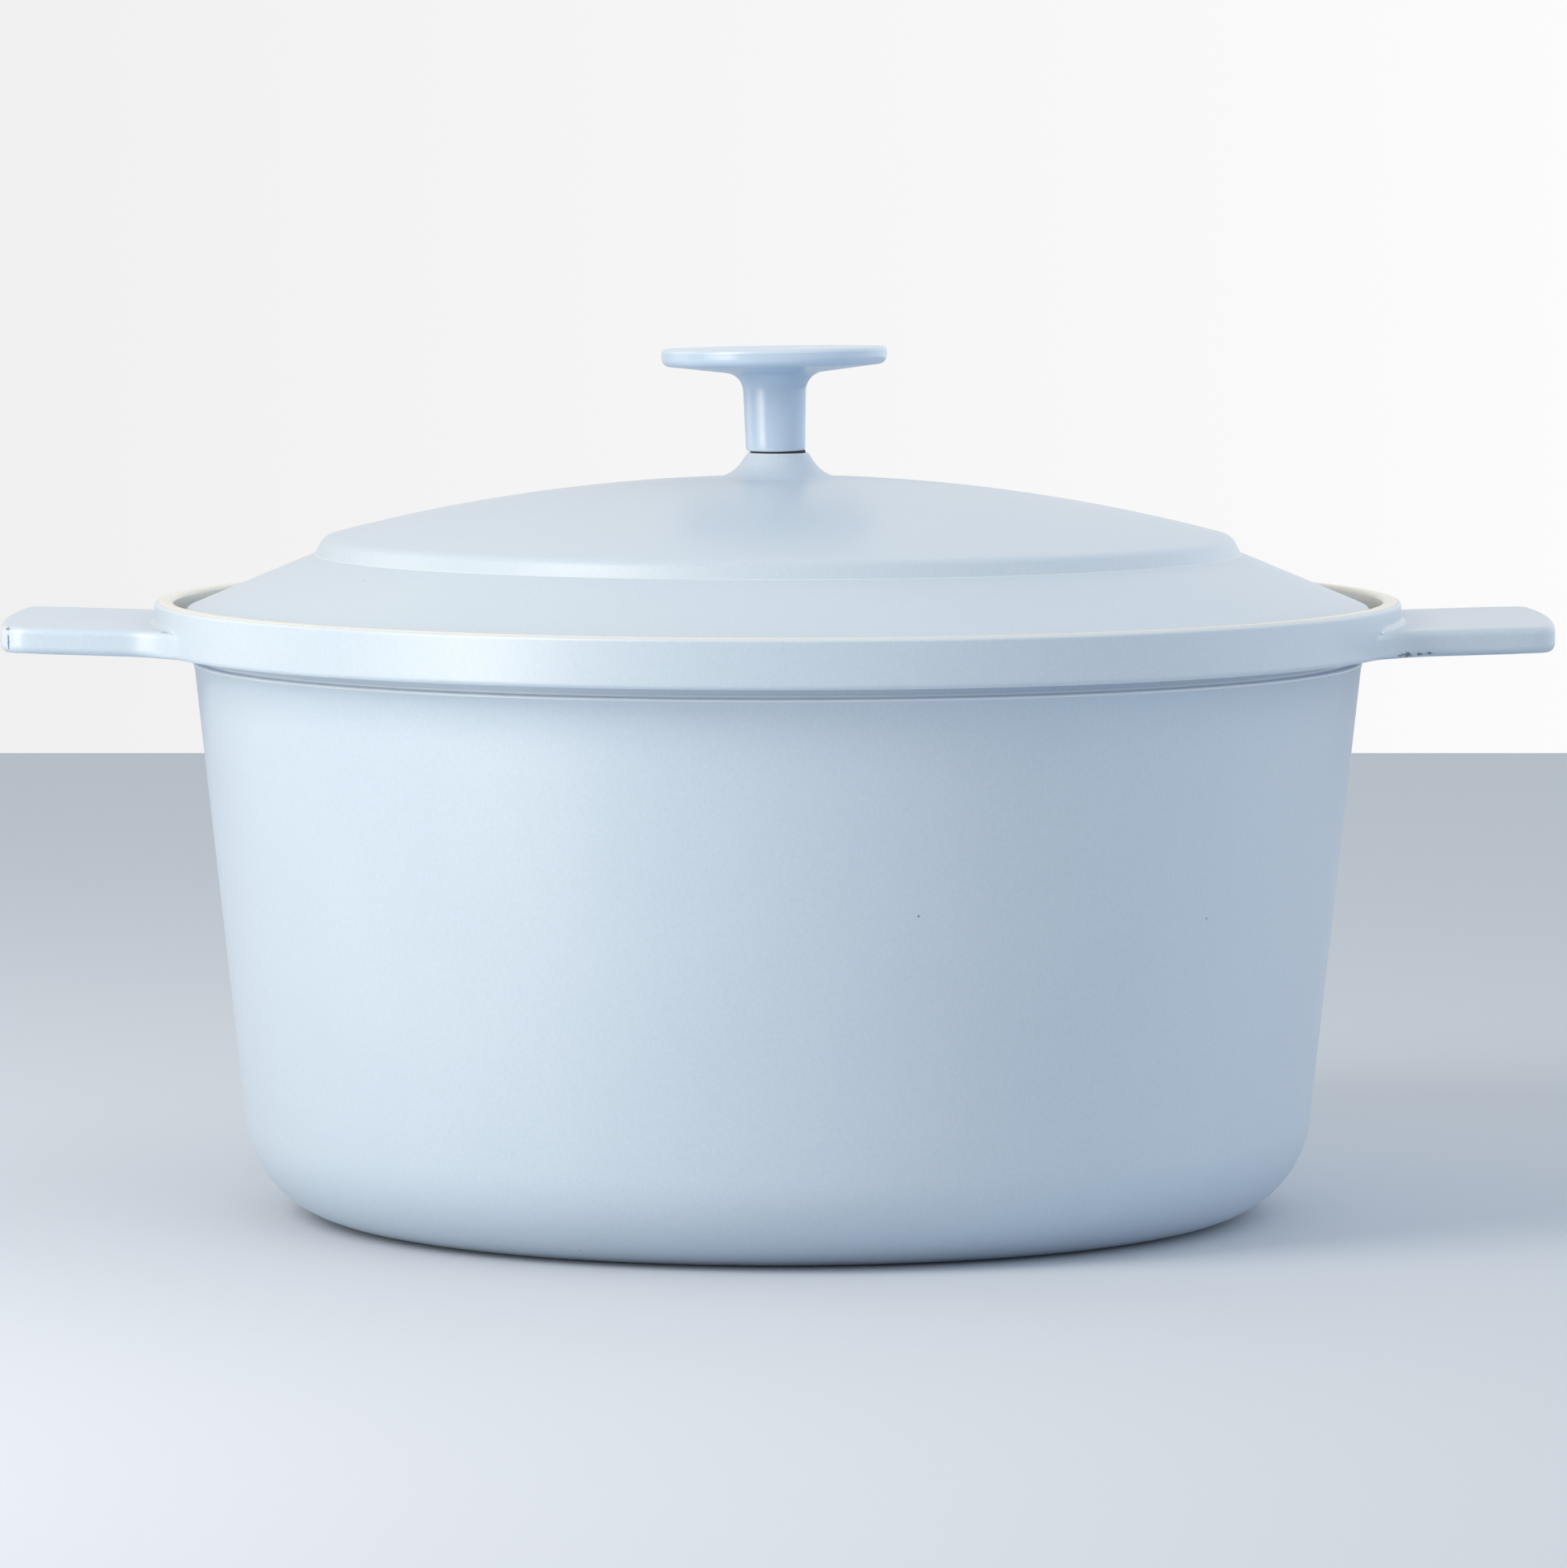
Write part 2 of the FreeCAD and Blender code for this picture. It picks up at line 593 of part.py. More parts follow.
def knob_screw():
    """Pan head screw through the lid into the knob, with a cross recess."""
    tip = f"({KNOB_FOOT} + screw_grip)"
    crown = f"({HEAD_TOP} - head_height)"
    body = revolved_body(
        "knob_screw",
        [
            ("0", crown),
            ("head_radius", crown, "head_round"),
            ("head_radius", HEAD_TOP),
            ("screw_radius", HEAD_TOP),
            ("screw_radius", tip),
            ("0", tip),
        ],
    )
    arms = (("recess_length", "recess_width"), ("recess_width", "recess_length"))
    least_cut = number("recess_width ^ 2 * recess_depth / 2")
    for index, (wide, deep) in enumerate(arms):
        before = body.Shape.Volume
        sketch = new_sketch(body, "XY_Plane", f"recess_arm_{index}")
        sketch.setExpression("AttachmentOffset.Base.z", bound(crown))
        centred_rectangle(sketch, wide, deep)
        pocket = body.newObject("PartDesign::Pocket", f"recess_cut_{index}")
        pocket.Profile = sketch
        pocket.setExpression("Length", bound("recess_depth"))
        pocket.Reversed = True
        sketch.Visibility = False
        doc.recompute()
        if before - body.Shape.Volume < least_cut:
            raise RuntimeError("the screw's cross recess cuts nothing")
    return body


def centred_rectangle(sketch, wide, deep):
    """A rectangle round the sketch's origin."""
    half_x, half_y = number(wide) / 2, number(deep) / 2
    points = [
        FreeCAD.Vector(x * half_x, y * half_y, 0) for x, y in ((-1, -1), (1, -1), (1, 1), (-1, 1))
    ]
    sides = [
        sketch.addGeometry(Part.LineSegment(points[i], points[(i + 1) % 4])) for i in range(4)
    ]
    for i in range(4):
        sketch.addConstraint(Sketcher.Constraint("Coincident", sides[i], 2, sides[(i + 1) % 4], 1))
        kind = "Vertical" if i % 2 else "Horizontal"
        sketch.addConstraint(Sketcher.Constraint(kind, sides[i]))
    sketch.addConstraint(Sketcher.Constraint("Symmetric", sides[0], 1, sides[2], 1, -1, 1))
    width = Sketcher.Constraint("DistanceX", sides[0], 1, sides[0], 2, 2 * half_x)
    bind(sketch, width, "width", wide)
    depth = Sketcher.Constraint("DistanceY", sides[1], 1, sides[1], 2, 2 * half_y)
    bind(sketch, depth, "depth", deep)


def seal_washer():
    """Silicone washer that keeps the steel off the enamel."""
    return washer("seal_washer", SEAL_RADIUS, WASHER_BORE, SEAL_TOP, "seal_thickness")


def flat_washer():
    """Plain steel washer."""
    return washer(
        "flat_washer", "flat_washer_radius", WASHER_BORE, FLAT_WASHER_TOP, "flat_washer_thickness"
    )


def spring_washer():
    """Split lock washer, closed flat as it is when the screw is tight."""
    blank = washer(
        "spring_washer_blank",
        SPRING_WASHER_RADIUS,
        WASHER_BORE,
        SPRING_WASHER_TOP,
        "spring_washer_thickness",
    )
    split = doc.addObject("Part::Box", "spring_washer_split")
    split.setExpression("Length", bound(f"{SPRING_WASHER_RADIUS} * 2"))
    split.setExpression("Width", bound("spring_washer_gap"))
    split.setExpression("Height", bound("spring_washer_thickness * 2"))
    split.setExpression("Placement.Base.y", bound("-spring_washer_gap / 2"))
    middle = f"{SPRING_WASHER_TOP} - spring_washer_thickness * 1.5"
    split.setExpression("Placement.Base.z", bound(middle))
    ring = doc.addObject("Part::Cut", "spring_washer")
    ring.Base, ring.Tool = blank, split
    ring.Label = "spring_washer"
    doc.recompute()
    return ring


# ---------------------------------------------------------------------------------------
# Build, check and write
# ---------------------------------------------------------------------------------------

pieces = [
    pot_casting(pot_shell(), handle_slab()),
    pot_lining(),
    lid_casting(),
    lid_lining(),
    knob(),
    knob_gasket(),
    seal_washer(),
    flat_washer(),
    spring_washer(),
    knob_screw(),
]
doc.recompute()

for item in doc.Objects:
    if "Invalid" in item.State or "Error" in item.State:
        raise RuntimeError(f"{item.Label} failed: {item.State}")
    if item.isDerivedFrom("Sketcher::SketchObject") and not item.FullyConstrained:
        raise RuntimeError(f"{item.Label} isn't fully constrained")

os.makedirs("parts", exist_ok=True)
for piece in pieces:
    shape = piece.Shape
    if shape.isNull() or not shape.isValid() or len(shape.Solids) != 1:
        raise RuntimeError(f"{piece.Label} isn't one valid solid")
    shape.exportStep(os.path.join("parts", f"{piece.Label}.step"))
    print(f"{piece.Label}: {shape.Volume / 1000:.2f} cm3, {shape.BoundBox}")
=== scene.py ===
import bpy
import numpy as np
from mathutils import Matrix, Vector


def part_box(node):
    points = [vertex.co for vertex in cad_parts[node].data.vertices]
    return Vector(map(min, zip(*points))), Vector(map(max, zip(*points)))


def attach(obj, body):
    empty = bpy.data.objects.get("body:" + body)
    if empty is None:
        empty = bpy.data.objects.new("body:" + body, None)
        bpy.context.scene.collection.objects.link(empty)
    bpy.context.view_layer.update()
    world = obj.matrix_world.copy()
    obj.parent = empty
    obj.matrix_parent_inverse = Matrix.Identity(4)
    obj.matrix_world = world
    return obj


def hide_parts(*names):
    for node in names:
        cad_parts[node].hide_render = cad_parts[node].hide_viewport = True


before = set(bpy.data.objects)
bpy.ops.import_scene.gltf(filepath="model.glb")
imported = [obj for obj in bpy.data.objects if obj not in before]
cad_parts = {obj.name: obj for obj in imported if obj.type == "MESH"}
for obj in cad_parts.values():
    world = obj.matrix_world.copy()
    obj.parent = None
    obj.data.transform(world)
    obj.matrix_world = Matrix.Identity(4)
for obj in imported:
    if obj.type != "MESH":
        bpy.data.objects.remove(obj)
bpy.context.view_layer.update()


# ---------------------------------------------------------------------------------------
# Pot: one grey iron casting with its collar and both tab handles, poured in a sand mould.
# It's shot blasted, then sprayed outside with pale blue vitreous enamel and fired, so its
# edges are softly rounded and the tabs run into the collar with fillets.
# ---------------------------------------------------------------------------------------

MM = 0.001


def rounded(corners, line_step=5.0, arc_step=9.0):
    """Section line through corners (across, up, rounding), all in millimetres.

    Each rounding is an arc of that radius tangent to the two runs that meet there, with a
    point every arc_step degrees, and the runs between have a point every line_step.
    """
    sharp = np.array([corner[:2] for corner in corners], float)
    line = [sharp[:1]]
    for i in range(1, len(sharp)):
        end = sharp[i : i + 1]
        if i < len(sharp) - 1 and corners[i][2]:
            back = (sharp[i - 1] - sharp[i]) / np.linalg.norm(sharp[i - 1] - sharp[i])
            ahead = (sharp[i + 1] - sharp[i]) / np.linalg.norm(sharp[i + 1] - sharp[i])
            half = np.arccos(np.clip(back @ ahead, -1, 1)) / 2
            middle = (back + ahead) / np.linalg.norm(back + ahead)
            centre = sharp[i] + middle * corners[i][2] / np.sin(half)
            turn = np.pi / 2 - half
            steps = max(2, int(np.ceil(np.degrees(2 * turn) / arc_step)))
            swing = np.linspace(-turn, turn, steps + 1)[:, None]
            side = (ahead - back) / np.linalg.norm(ahead - back)
            end = centre + corners[i][2] * (np.sin(swing) * side - np.cos(swing) * middle)
        run = end[0] - line[-1][-1]
        cuts = max(1, int(np.ceil(np.linalg.norm(run) / line_step)))
        line.append(line[-1][-1] + run * np.linspace(0, 1, cuts + 1)[1:-1, None])
        line.append(end)
    return np.concatenate(line)


def turned(section, angles):
    """Grid of points: the section (across, up) turned to each angle round the axis.

    x and y are the distance across times the angle's cosine and sine.
    """
    across, up = section[:, 0], section[:, 1]
    x = np.cos(angles)[:, None] * across
    y = np.sin(angles)[:, None] * across
    return np.stack([x, y, np.broadcast_to(up, x.shape)], axis=2)


def sharpness(grid):
    """How sharply each point of a grid bends: 0 is flat and 1 is a 0.4 mm radius or less.

    The bend is the change of the normal along a grid line over the length it's spread on,
    and the larger of the two directions counts, in an edge or in a fillet.
    """
    across = np.roll(grid, -1, axis=0) - np.roll(grid, 1, axis=0)
    upward = np.gradient(grid, axis=1)
    normal = np.cross(across, upward)
    normal /= np.maximum(np.linalg.norm(normal, axis=2, keepdims=True), 1e-9)
    turning = np.roll(normal, -1, axis=0) - np.roll(normal, 1, axis=0)
    climbing = np.gradient(normal, axis=1)
    bend_across = (turning * across).sum(2) / np.maximum((across**2).sum(2), 1e-6)
    bend_upward = (climbing * upward).sum(2) / np.maximum((upward**2).sum(2), 1e-6)
    return np.clip(0.4 * np.maximum(np.abs(bend_across), np.abs(bend_upward)), 0, 1)


def surface(name, grid, ring=False):
    """Mesh object from a grid of points in millimetres, one row per angle, closed round.

    Rows run up the outside, so faces point outward. With ring the rows close on
    themselves; otherwise they start and end on the axis, where each end becomes a single
    point. Each point carries its sharpness as the attribute "edge", for wear, a stain and
    painted highlights on edges and in tight corners.
    """
    edge = sharpness(grid)
    rows = len(grid)
    body = grid if ring else grid[:, 1:-1]
    width = body.shape[1]
    index = np.arange(rows * width).reshape(rows, width)
    index = np.vstack([index, index[:1]])
    if ring:
        index = np.hstack([index, index[:, :1]])
    quads = np.stack(
        [index[:-1, :-1], index[1:, :-1], index[1:, 1:], index[:-1, 1:]], axis=2
    )
    points = body.reshape(-1, 3)
    edge = edge if ring else np.append(edge[:, 1:-1], [0.0, 0.0])
    faces = quads.reshape(-1, 4).tolist()
    if not ring:
        first, last = rows * width, rows * width + 1
        points = np.vstack([points, grid[0, 0], grid[0, -1]])
        below = np.stack([index[1:, 0], index[:-1, 0], np.full(rows, first)], axis=1)
        above = np.stack([index[:-1, -1], index[1:, -1], np.full(rows, last)], axis=1)
        faces += below.tolist() + above.tolist()
    mesh = bpy.data.meshes.new(name)
    mesh.from_pydata((points * MM).tolist(), [], faces)
    mesh.polygons.foreach_set("use_smooth", np.ones(len(mesh.polygons), bool))
    wear = mesh.attributes.new("edge", "FLOAT", "POINT")
    wear.data.foreach_set("value", np.ravel(edge))
    mesh.update()
    made = bpy.data.objects.new(name, mesh)
    bpy.context.scene.collection.objects.link(made)
    return made


# Radii from the upright axis, heights above the table and roundings, in millimetres. The
# rim's blue edge and the tabs' ends stand a hair proud of the iron, by the glaze.
pot_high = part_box("pot_casting")[1]
COLLAR = pot_high.y / MM
RIM = pot_high.z / MM
BLUE_RIM = RIM + 0.22
TAB_END = pot_high.x / MM + 0.06
COLLAR_FOOT = 122.0
COLLAR_TOP_ROUND = 0.8
COLLAR_FOOT_ROUND = 1.0
RECESS = 130.4
RIM_EDGE = COLLAR - 1.6
LEDGE = 125.3
WALL = 125.4
WALL_TOP = 119.4
WALL_BEAD = 0.55
WALL_THICKNESS = 3.6
DRAFT_ANGLE = np.radians(6.1)
DRAFT = np.tan(DRAFT_ANGLE)
WALL_FOOT = WALL - WALL_TOP * DRAFT
CAVITY = WALL - WALL_THICKNESS / np.cos(DRAFT_ANGLE)
BASE_CORNER = 22.5
FLOOR = 4.0
FOOT_RING = 83.4
FOOT_RECESS = 0.8
FOOT_RECESS_EDGE = 82.6
TAB_HALF_WIDTH = 36.8
TAB_TOP = 127.8
TAB_TILT = np.tan(np.radians(1.7))
TAB_CORNER = 5.5
TAB_EDGE = 1.6
END_BOW = 300.0
ROOT_TOP_FILLET = 1.4
ROOT_SIDE_FILLET = 9.0
ROOT_FADE = (0.5, 5.5)
UNDERSIDE_RISE_FROM = COLLAR - 4


def joined(a, b, radius):
    """Distance to two solids run together: the nearer one, with a round fillet between.

    Where both are nearer than the radius, it's the radius less the length of the two
    shortfalls taken as the sides of a right triangle.
    """
    return np.maximum(radius, np.minimum(a, b)) - np.hypot(
        np.maximum(radius - a, 0), np.maximum(radius - b, 0)
    )


def shared(a, b, radius):
    """Distance to what two solids share: the farther one, with a round outer edge.

    Less than the radius inside both, it's the length of the two excesses taken as the
    sides of a right triangle, less the radius.
    """
    return np.minimum(-radius, np.maximum(a, b)) + np.hypot(
        np.maximum(radius + a, 0), np.maximum(radius + b, 0)
    )


def eased(value, start, end):
    """0 below start, 1 above end; between, 3 times the square less twice the cube."""
    t = np.clip((value - start) / (end - start), 0, 1)
    return t * t * (3 - 2 * t)


def to_iron(p):
    """Signed distance from points to the collar with its tabs, in millimetres.

    The collar is a cylinder with a rounded top edge. The tab is a slab with a bowed end,
    run into the collar's circle by a wide fillet in plan and cut off by a tilted top with
    a rounded edge. Where that top meets the collar there's a small fillet, which fades
    out round the collar. One underside, which rises with the tab, cuts off both.
    """
    x, y, z = np.abs(p[..., 0]), np.abs(p[..., 1]), p[..., 2]
    circle = np.hypot(x, y) - COLLAR
    collar = shared(circle, z - BLUE_RIM, COLLAR_TOP_ROUND)
    end = np.hypot(x - (TAB_END - END_BOW), y) - END_BOW
    plan = shared(end, y - TAB_HALF_WIDTH, TAB_CORNER)
    top = z - TAB_TOP - (x - COLLAR) * TAB_TILT
    tab = shared(joined(circle, plan, ROOT_SIDE_FILLET), top, TAB_EDGE)
    fillet = ROOT_TOP_FILLET * (1 - eased(plan, *ROOT_FADE)) + 0.001
    underside = COLLAR_FOOT + np.maximum(x - UNDERSIDE_RISE_FROM, 0) * TAB_TILT - z
    on_tab = eased(x, COLLAR - 6, COLLAR + 2)
    edge = COLLAR_FOOT_ROUND + (TAB_EDGE - COLLAR_FOOT_ROUND) * on_tab
    return shared(joined(collar, tab, fillet), underside, edge)


def drawn_to_iron(p, passes=12):
    """Points moved onto the surface of to_iron by Newton's steps.

    Each step goes back along the slope by the distance over the square of its steepness.
    """
    small = 0.01
    for _ in range(passes):
        ahead_and_behind = [(to_iron(p + d), to_iron(p - d)) for d in np.eye(3) * small]
        slope = np.stack([(a - b) / (2 * small) for a, b in ahead_and_behind], axis=-1)
        steepness = np.maximum((slope**2).sum(-1), 0.25)
        p = p - (to_iron(p) / steepness)[..., None] * slope
    return p


def plan_quarter():
    """Outline and collar points (x, y) from the middle of a tab's end round to the front.

    The outline follows the end's bow, the corner, the side and the root's fillet, and
    stays on the collar from there. Each outline point has a collar point that the tab's
    top runs to; from the fillet that's where a line at 45 degrees to it, inward, meets the
    collar.
    The fillet is the one that joined gives: at each swing, the distance from the side is
    its radius less its radius times the cosine, and from the collar, times the sine.
    Points lie closer together towards the root. Along the end and the corner, a collar
    point is drawn in to 0.72 times its outline point's distance from the middle.
    """
    drawn_in = 0.72
    corner_y = TAB_HALF_WIDTH - TAB_CORNER
    corner_x = TAB_END - END_BOW + np.sqrt((END_BOW - TAB_CORNER) ** 2 - corner_y**2)
    swing = np.linspace(0, np.pi / 2, 25)
    fillet_y = TAB_HALF_WIDTH + ROOT_SIDE_FILLET * (1 - np.cos(swing))
    fillet_from_axis = COLLAR + ROOT_SIDE_FILLET * (1 - np.sin(swing))
    fillet_x = np.sqrt(fillet_from_axis**2 - fillet_y**2)
    root = np.arcsin(fillet_y[-1] / COLLAR)
    start = np.arctan2(corner_y, corner_x - TAB_END + END_BOW)
    bow = np.linspace(0, start, 6)
    corner = np.linspace(start, np.pi / 2, 11)[1:]
    side = corner_x + (fillet_x[0] - corner_x) * np.linspace(0, 1, 15)[1:] ** 0.7
    along_x, along_y = np.gradient(fillet_x), np.gradient(fillet_y)
    step = np.hypot(along_x, along_y) * np.sqrt(2)
    heading_x, heading_y = (along_x - along_y) / step, (along_y + along_x) / step
    nearest = -(fillet_x * heading_x + fillet_y * heading_y)
    run = nearest - np.sqrt(nearest**2 + COLLAR**2 - fillet_from_axis**2)
    met_y = fillet_y + run * heading_y
    arc = root + (np.pi / 2 - root) * np.linspace(0, 1, 61)[1:] ** 1.4
    outline_x = np.concatenate(
        [
            TAB_END - END_BOW + END_BOW * np.cos(bow),
            corner_x + TAB_CORNER * np.cos(corner),
            side,
            fillet_x[1:],
            COLLAR * np.cos(arc),
        ]
    )
    outline_y = np.concatenate(
        [
            END_BOW * np.sin(bow),
            corner_y + TAB_CORNER * np.sin(corner),
            np.full(len(side), TAB_HALF_WIDTH),
            fillet_y[1:],
            COLLAR * np.sin(arc),
        ]
    )
    collar_y = np.concatenate(
        [
            drawn_in * outline_y[: len(bow) + len(corner)],
            np.linspace(drawn_in * TAB_HALF_WIDTH, met_y[0], len(side) + 1)[1:],
            met_y[1:],
            COLLAR * np.sin(arc),
        ]
    )
    collar_x = np.sqrt(np.maximum(COLLAR**2 - collar_y**2, 0))
    return np.stack([outline_x, outline_y], 1), np.stack([collar_x, collar_y], 1)


def all_round(quarter):
    """A quarter's points (x, y) mirrored into the whole turn, counterclockwise."""
    second = quarter[-2::-1] * [-1, 1]
    half = np.concatenate([quarter, second])
    return np.concatenate([half, half[-2:0:-1] * [1, -1]])


outline, on_collar = (all_round(q) for q in plan_quarter())
reach = np.linalg.norm(outline - on_collar, axis=1)
angles = np.arctan2(on_collar[:, 1], on_collar[:, 0])
inner = on_collar * (COLLAR - COLLAR_FOOT_ROUND) / COLLAR
tab_x = np.abs(outline[:, 0])
tab_under = COLLAR_FOOT + np.maximum(tab_x - UNDERSIDE_RISE_FROM, 0) * TAB_TILT
tab_over = TAB_TOP + (tab_x - COLLAR) * TAB_TILT
root_over = TAB_TOP + (np.abs(on_collar[:, 0]) - COLLAR) * TAB_TILT


def upright(plan, height):
    """Points (x, y, height) from plan points and one height or one height each."""
    return np.column_stack([plan, np.broadcast_to(height, len(plan))])


band = np.stack(
    [
        upright(inner, COLLAR_FOOT),
        upright(on_collar, COLLAR_FOOT),
        upright(outline, np.where(reach > 0, tab_under, COLLAR_FOOT + 0.2)),
        upright(outline, tab_over),
        upright(on_collar, root_over),
        upright(on_collar, BLUE_RIM),
        upright(on_collar * (COLLAR - COLLAR_TOP_ROUND) / COLLAR, BLUE_RIM),
    ],
    axis=1,
)
along = np.cumsum(np.linalg.norm(np.diff(band, axis=1), axis=2), axis=1)
along = np.column_stack([np.zeros(len(band)), along])


def band_stops(lengths, tab):
    """How far along the band each grid line lies, for one angle.

    Away from the tabs the lines are evenly spaced. On a tab a set number lie evenly
    between marks on and beside each edge, and in the root the two are mixed by the tab's
    reach.
    """
    beside_edge, beside_root = 1.7, 2.2
    edge, root = min(beside_edge, tab / 2), min(beside_root, tab / 2)
    foot_edge, foot_outline, top_outline, top_root, rim_edge, rim = lengths[1:]
    marks = [
        0,
        foot_edge,
        foot_outline - edge,
        foot_outline,
        foot_outline + edge,
        top_outline - beside_edge,
        top_outline,
        top_outline + edge,
        top_root - root,
        top_root,
        top_root + beside_root,
        rim_edge - 1,
        rim_edge,
        rim,
    ]
    counts = [3, 9, 6, 6, 2, 6, 6, 10, 6, 6, 3, 4, 3]
    stops = [
        np.linspace(mark, following, count, endpoint=False)
        for mark, following, count in zip(marks, marks[1:], counts)
    ]
    placed = np.append(np.concatenate(stops), rim)
    even = np.linspace(0, rim, len(placed))
    return even + (placed - even) * eased(tab, 0.0, 5.0)


band_lines = []
for lengths, tab, corners in zip(along, reach, band):
    stops = band_stops(lengths, tab)
    band_lines.append(np.stack([np.interp(stops, lengths, c) for c in corners.T], axis=1))
band_grid = drawn_to_iron(np.stack(band_lines))

below = rounded(
    [
        (0, FOOT_RECESS, 0),
        (FOOT_RECESS_EDGE, FOOT_RECESS, 1.0),
        (FOOT_RING, 0, 0.8),
        (WALL_FOOT, 0, BASE_CORNER),
        (WALL, WALL_TOP - 1.5, 0),
        (WALL + WALL_BEAD, WALL_TOP + 0.15, 0.5),
        (WALL - 1.3, WALL_TOP + 0.4, 0.4),
        (WALL - 1.0, COLLAR_FOOT, 0.6),
        (COLLAR - COLLAR_FOOT_ROUND, COLLAR_FOOT, 0),
    ],
    line_step=9.0,
)[:-1]
above = rounded(
    [
        (COLLAR - COLLAR_TOP_ROUND, BLUE_RIM, 0),
        (RIM_EDGE, RIM, 0),
        (RECESS, RIM, 0.3),
        (RECESS, LEDGE, 1.4),
        (CAVITY + (LEDGE - WALL_TOP) * DRAFT, LEDGE, 1.5),
        (CAVITY + (FLOOR - WALL_TOP) * DRAFT, FLOOR, BASE_CORNER - WALL_THICKNESS),
        (0, FLOOR, 0),
    ],
    line_step=9.0,
)[1:]
pot_grid = np.concatenate(
    [turned(below, angles), band_grid, turned(above, angles)], axis=1
)
pot = surface("pot", pot_grid)
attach(pot, "pot")
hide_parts("pot_casting")


def linear(colour):
    """An sRGB hex colour as linear red, green, blue and alpha.

    Dark values are divided by 12.92, and the others, plus 0.055 and over 1.055, are
    raised to the power 2.4.
    """
    value = np.array([int(colour[i : i + 2], 16) for i in (1, 3, 5)]) / 255
    low, high = value / 12.92, ((value + 0.055) / 1.055) ** 2.4
    return (*np.where(value <= 0.04045, low, high).tolist(), 1.0)


def add(owner, kind, settings=None, links=None):
    """Adds a node, with its settings and input values by name, and links its inputs.

    A link is input: (node, output), and an input or output may be a name or a number.
    """
    made = owner.node_tree.nodes.new(kind)
    for name, value in (settings or {}).items():
        if isinstance(name, int) or name in made.inputs:
            made.inputs[name].default_value = value
        else:
            setattr(made, name, value)
    for name, (source, output) in (links or {}).items():
        owner.node_tree.links.new(source.outputs[output], made.inputs[name])
    return made


def new_material(name):
    """A material of that name with an empty node tree."""
    made = bpy.data.materials.new(name)
    made.use_nodes = True
    made.node_tree.nodes.clear()
    return made


# Vitreous enamel: ground glass sprayed and fused at about 800 degrees. A satin glaze:
# soft wide highlights, a faint orange peel, a slight cloudiness and a few pinholes.
blue_enamel = new_material("vitreous_enamel_pale_blue")
where = add(blue_enamel, "ShaderNodeTexCoord")
# The coat's cloudiness, about 40 mm across.
cloud = add(
    blue_enamel,
    "ShaderNodeTexNoise",
    {"Scale": 25.0, "Detail": 2.0},
    {"Vector": (where, "Object")},
)
tint = add(
    blue_enamel,
    "ShaderNodeMix",
    {"data_type": "RGBA", 6: linear("#b6c8da"), 7: linear("#bccdde")},
    {0: (cloud, 0)},
)
# Fine speckle of the frit: real grains of 0.1 mm are too fine to show, so these are
# 0.6 mm.
grain = add(
    blue_enamel,
    "ShaderNodeTexNoise",
    {"Scale": 1600.0, "Detail": 1.0},
    {"Vector": (where, "Object")},
)
grain_range = add(
    blue_enamel,
    "ShaderNodeMapRange",
    {"From Min": 0.3, "From Max": 0.7, "To Min": 0.975, "To Max": 1.02},
    {"Value": (grain, 0)},
)
speckled = add(
    blue_enamel,
    "ShaderNodeVectorMath",
    {"operation": "SCALE"},
    {0: (tint, 2), "Scale": (grain_range, 0)},
)
# Pinholes 0.6 mm across, where a bubble burst in firing: one in each 16 mm of depth.
pores = add(
    blue_enamel, "ShaderNodeTexVoronoi", {"Scale": 62.0}, {"Vector": (where, "Object")}
)
pore = add(
    blue_enamel,
    "ShaderNodeMapRange",
    {"From Min": 0.011, "From Max": 0.019, "To Min": 0.8, "To Max": 0.0},
    {"Value": (pores, "Distance")},
)
with_pores = add(
    blue_enamel,
    "ShaderNodeMix",
    {"data_type": "RGBA", 7: linear("#4a5058")},
    {0: (pore, 0), 6: (speckled, 0)},
)
# Paler over sharp edges and in tight corners: mostly a painted highlight, as on the bead
# under the collar and in the tabs' root fillets. Over convex edges the glaze is also
# really pulled thin.
edge = add(blue_enamel, "ShaderNodeAttribute", {"attribute_name": "edge"})
thin_glaze_and_highlight = add(
    blue_enamel,
    "ShaderNodeMapRange",
    {"From Min": 0.45, "From Max": 0.85, "To Min": 0.0, "To Max": 0.9},
    {"Value": (edge, "Fac")},
)
thinned_and_highlit = add(
    blue_enamel,
    "ShaderNodeMix",
    {"data_type": "RGBA", 7: linear("#e4ebf1")},
    {0: (thin_glaze_and_highlight, 0), 6: (with_pores, 2)},
)
# Chips and scuffs from knocks, down to the dark ground coat: centre and half sizes, all
# in mm. Their outlines are ragged, with teeth of about 0.8 mm.
marks = [
    ((132.0, -37.4, 122.8), (2.3, 1.6, 0.5)),
    ((135.6, -37.0, 122.9), (0.8, 1.0, 0.3)),
    ((138.0, -37.0, 123.0), (0.9, 1.0, 0.3)),
    ((-163.2, -34.6, 128.2), (0.7, 0.8, 0.5)),
    ((-162.9, -35.2, 125.6), (0.2, 1.0, 2.0)),
    ((-130.0, -39.9, 127.6), (1.1, 1.3, 0.2)),
    ((41.5, -133.5, 129.4), (0.35, 0.5, 0.25)),
    ((62.0, -124.0, 131.0), (2.5, 3.5, 0.18)),
]
ragged = add(
    blue_enamel,
    "ShaderNodeTexNoise",
    {"Scale": 1300.0, "Detail": 3.0, "Roughness": 0.7},
    {"Vector": (where, "Object")},
)
ragged_range = add(
    blue_enamel,
    "ShaderNodeMapRange",
    {"From Min": 0.3, "From Max": 0.7, "To Min": -0.2, "To Max": 1.2},
    {"Value": (ragged, 0)},
)
chips = None
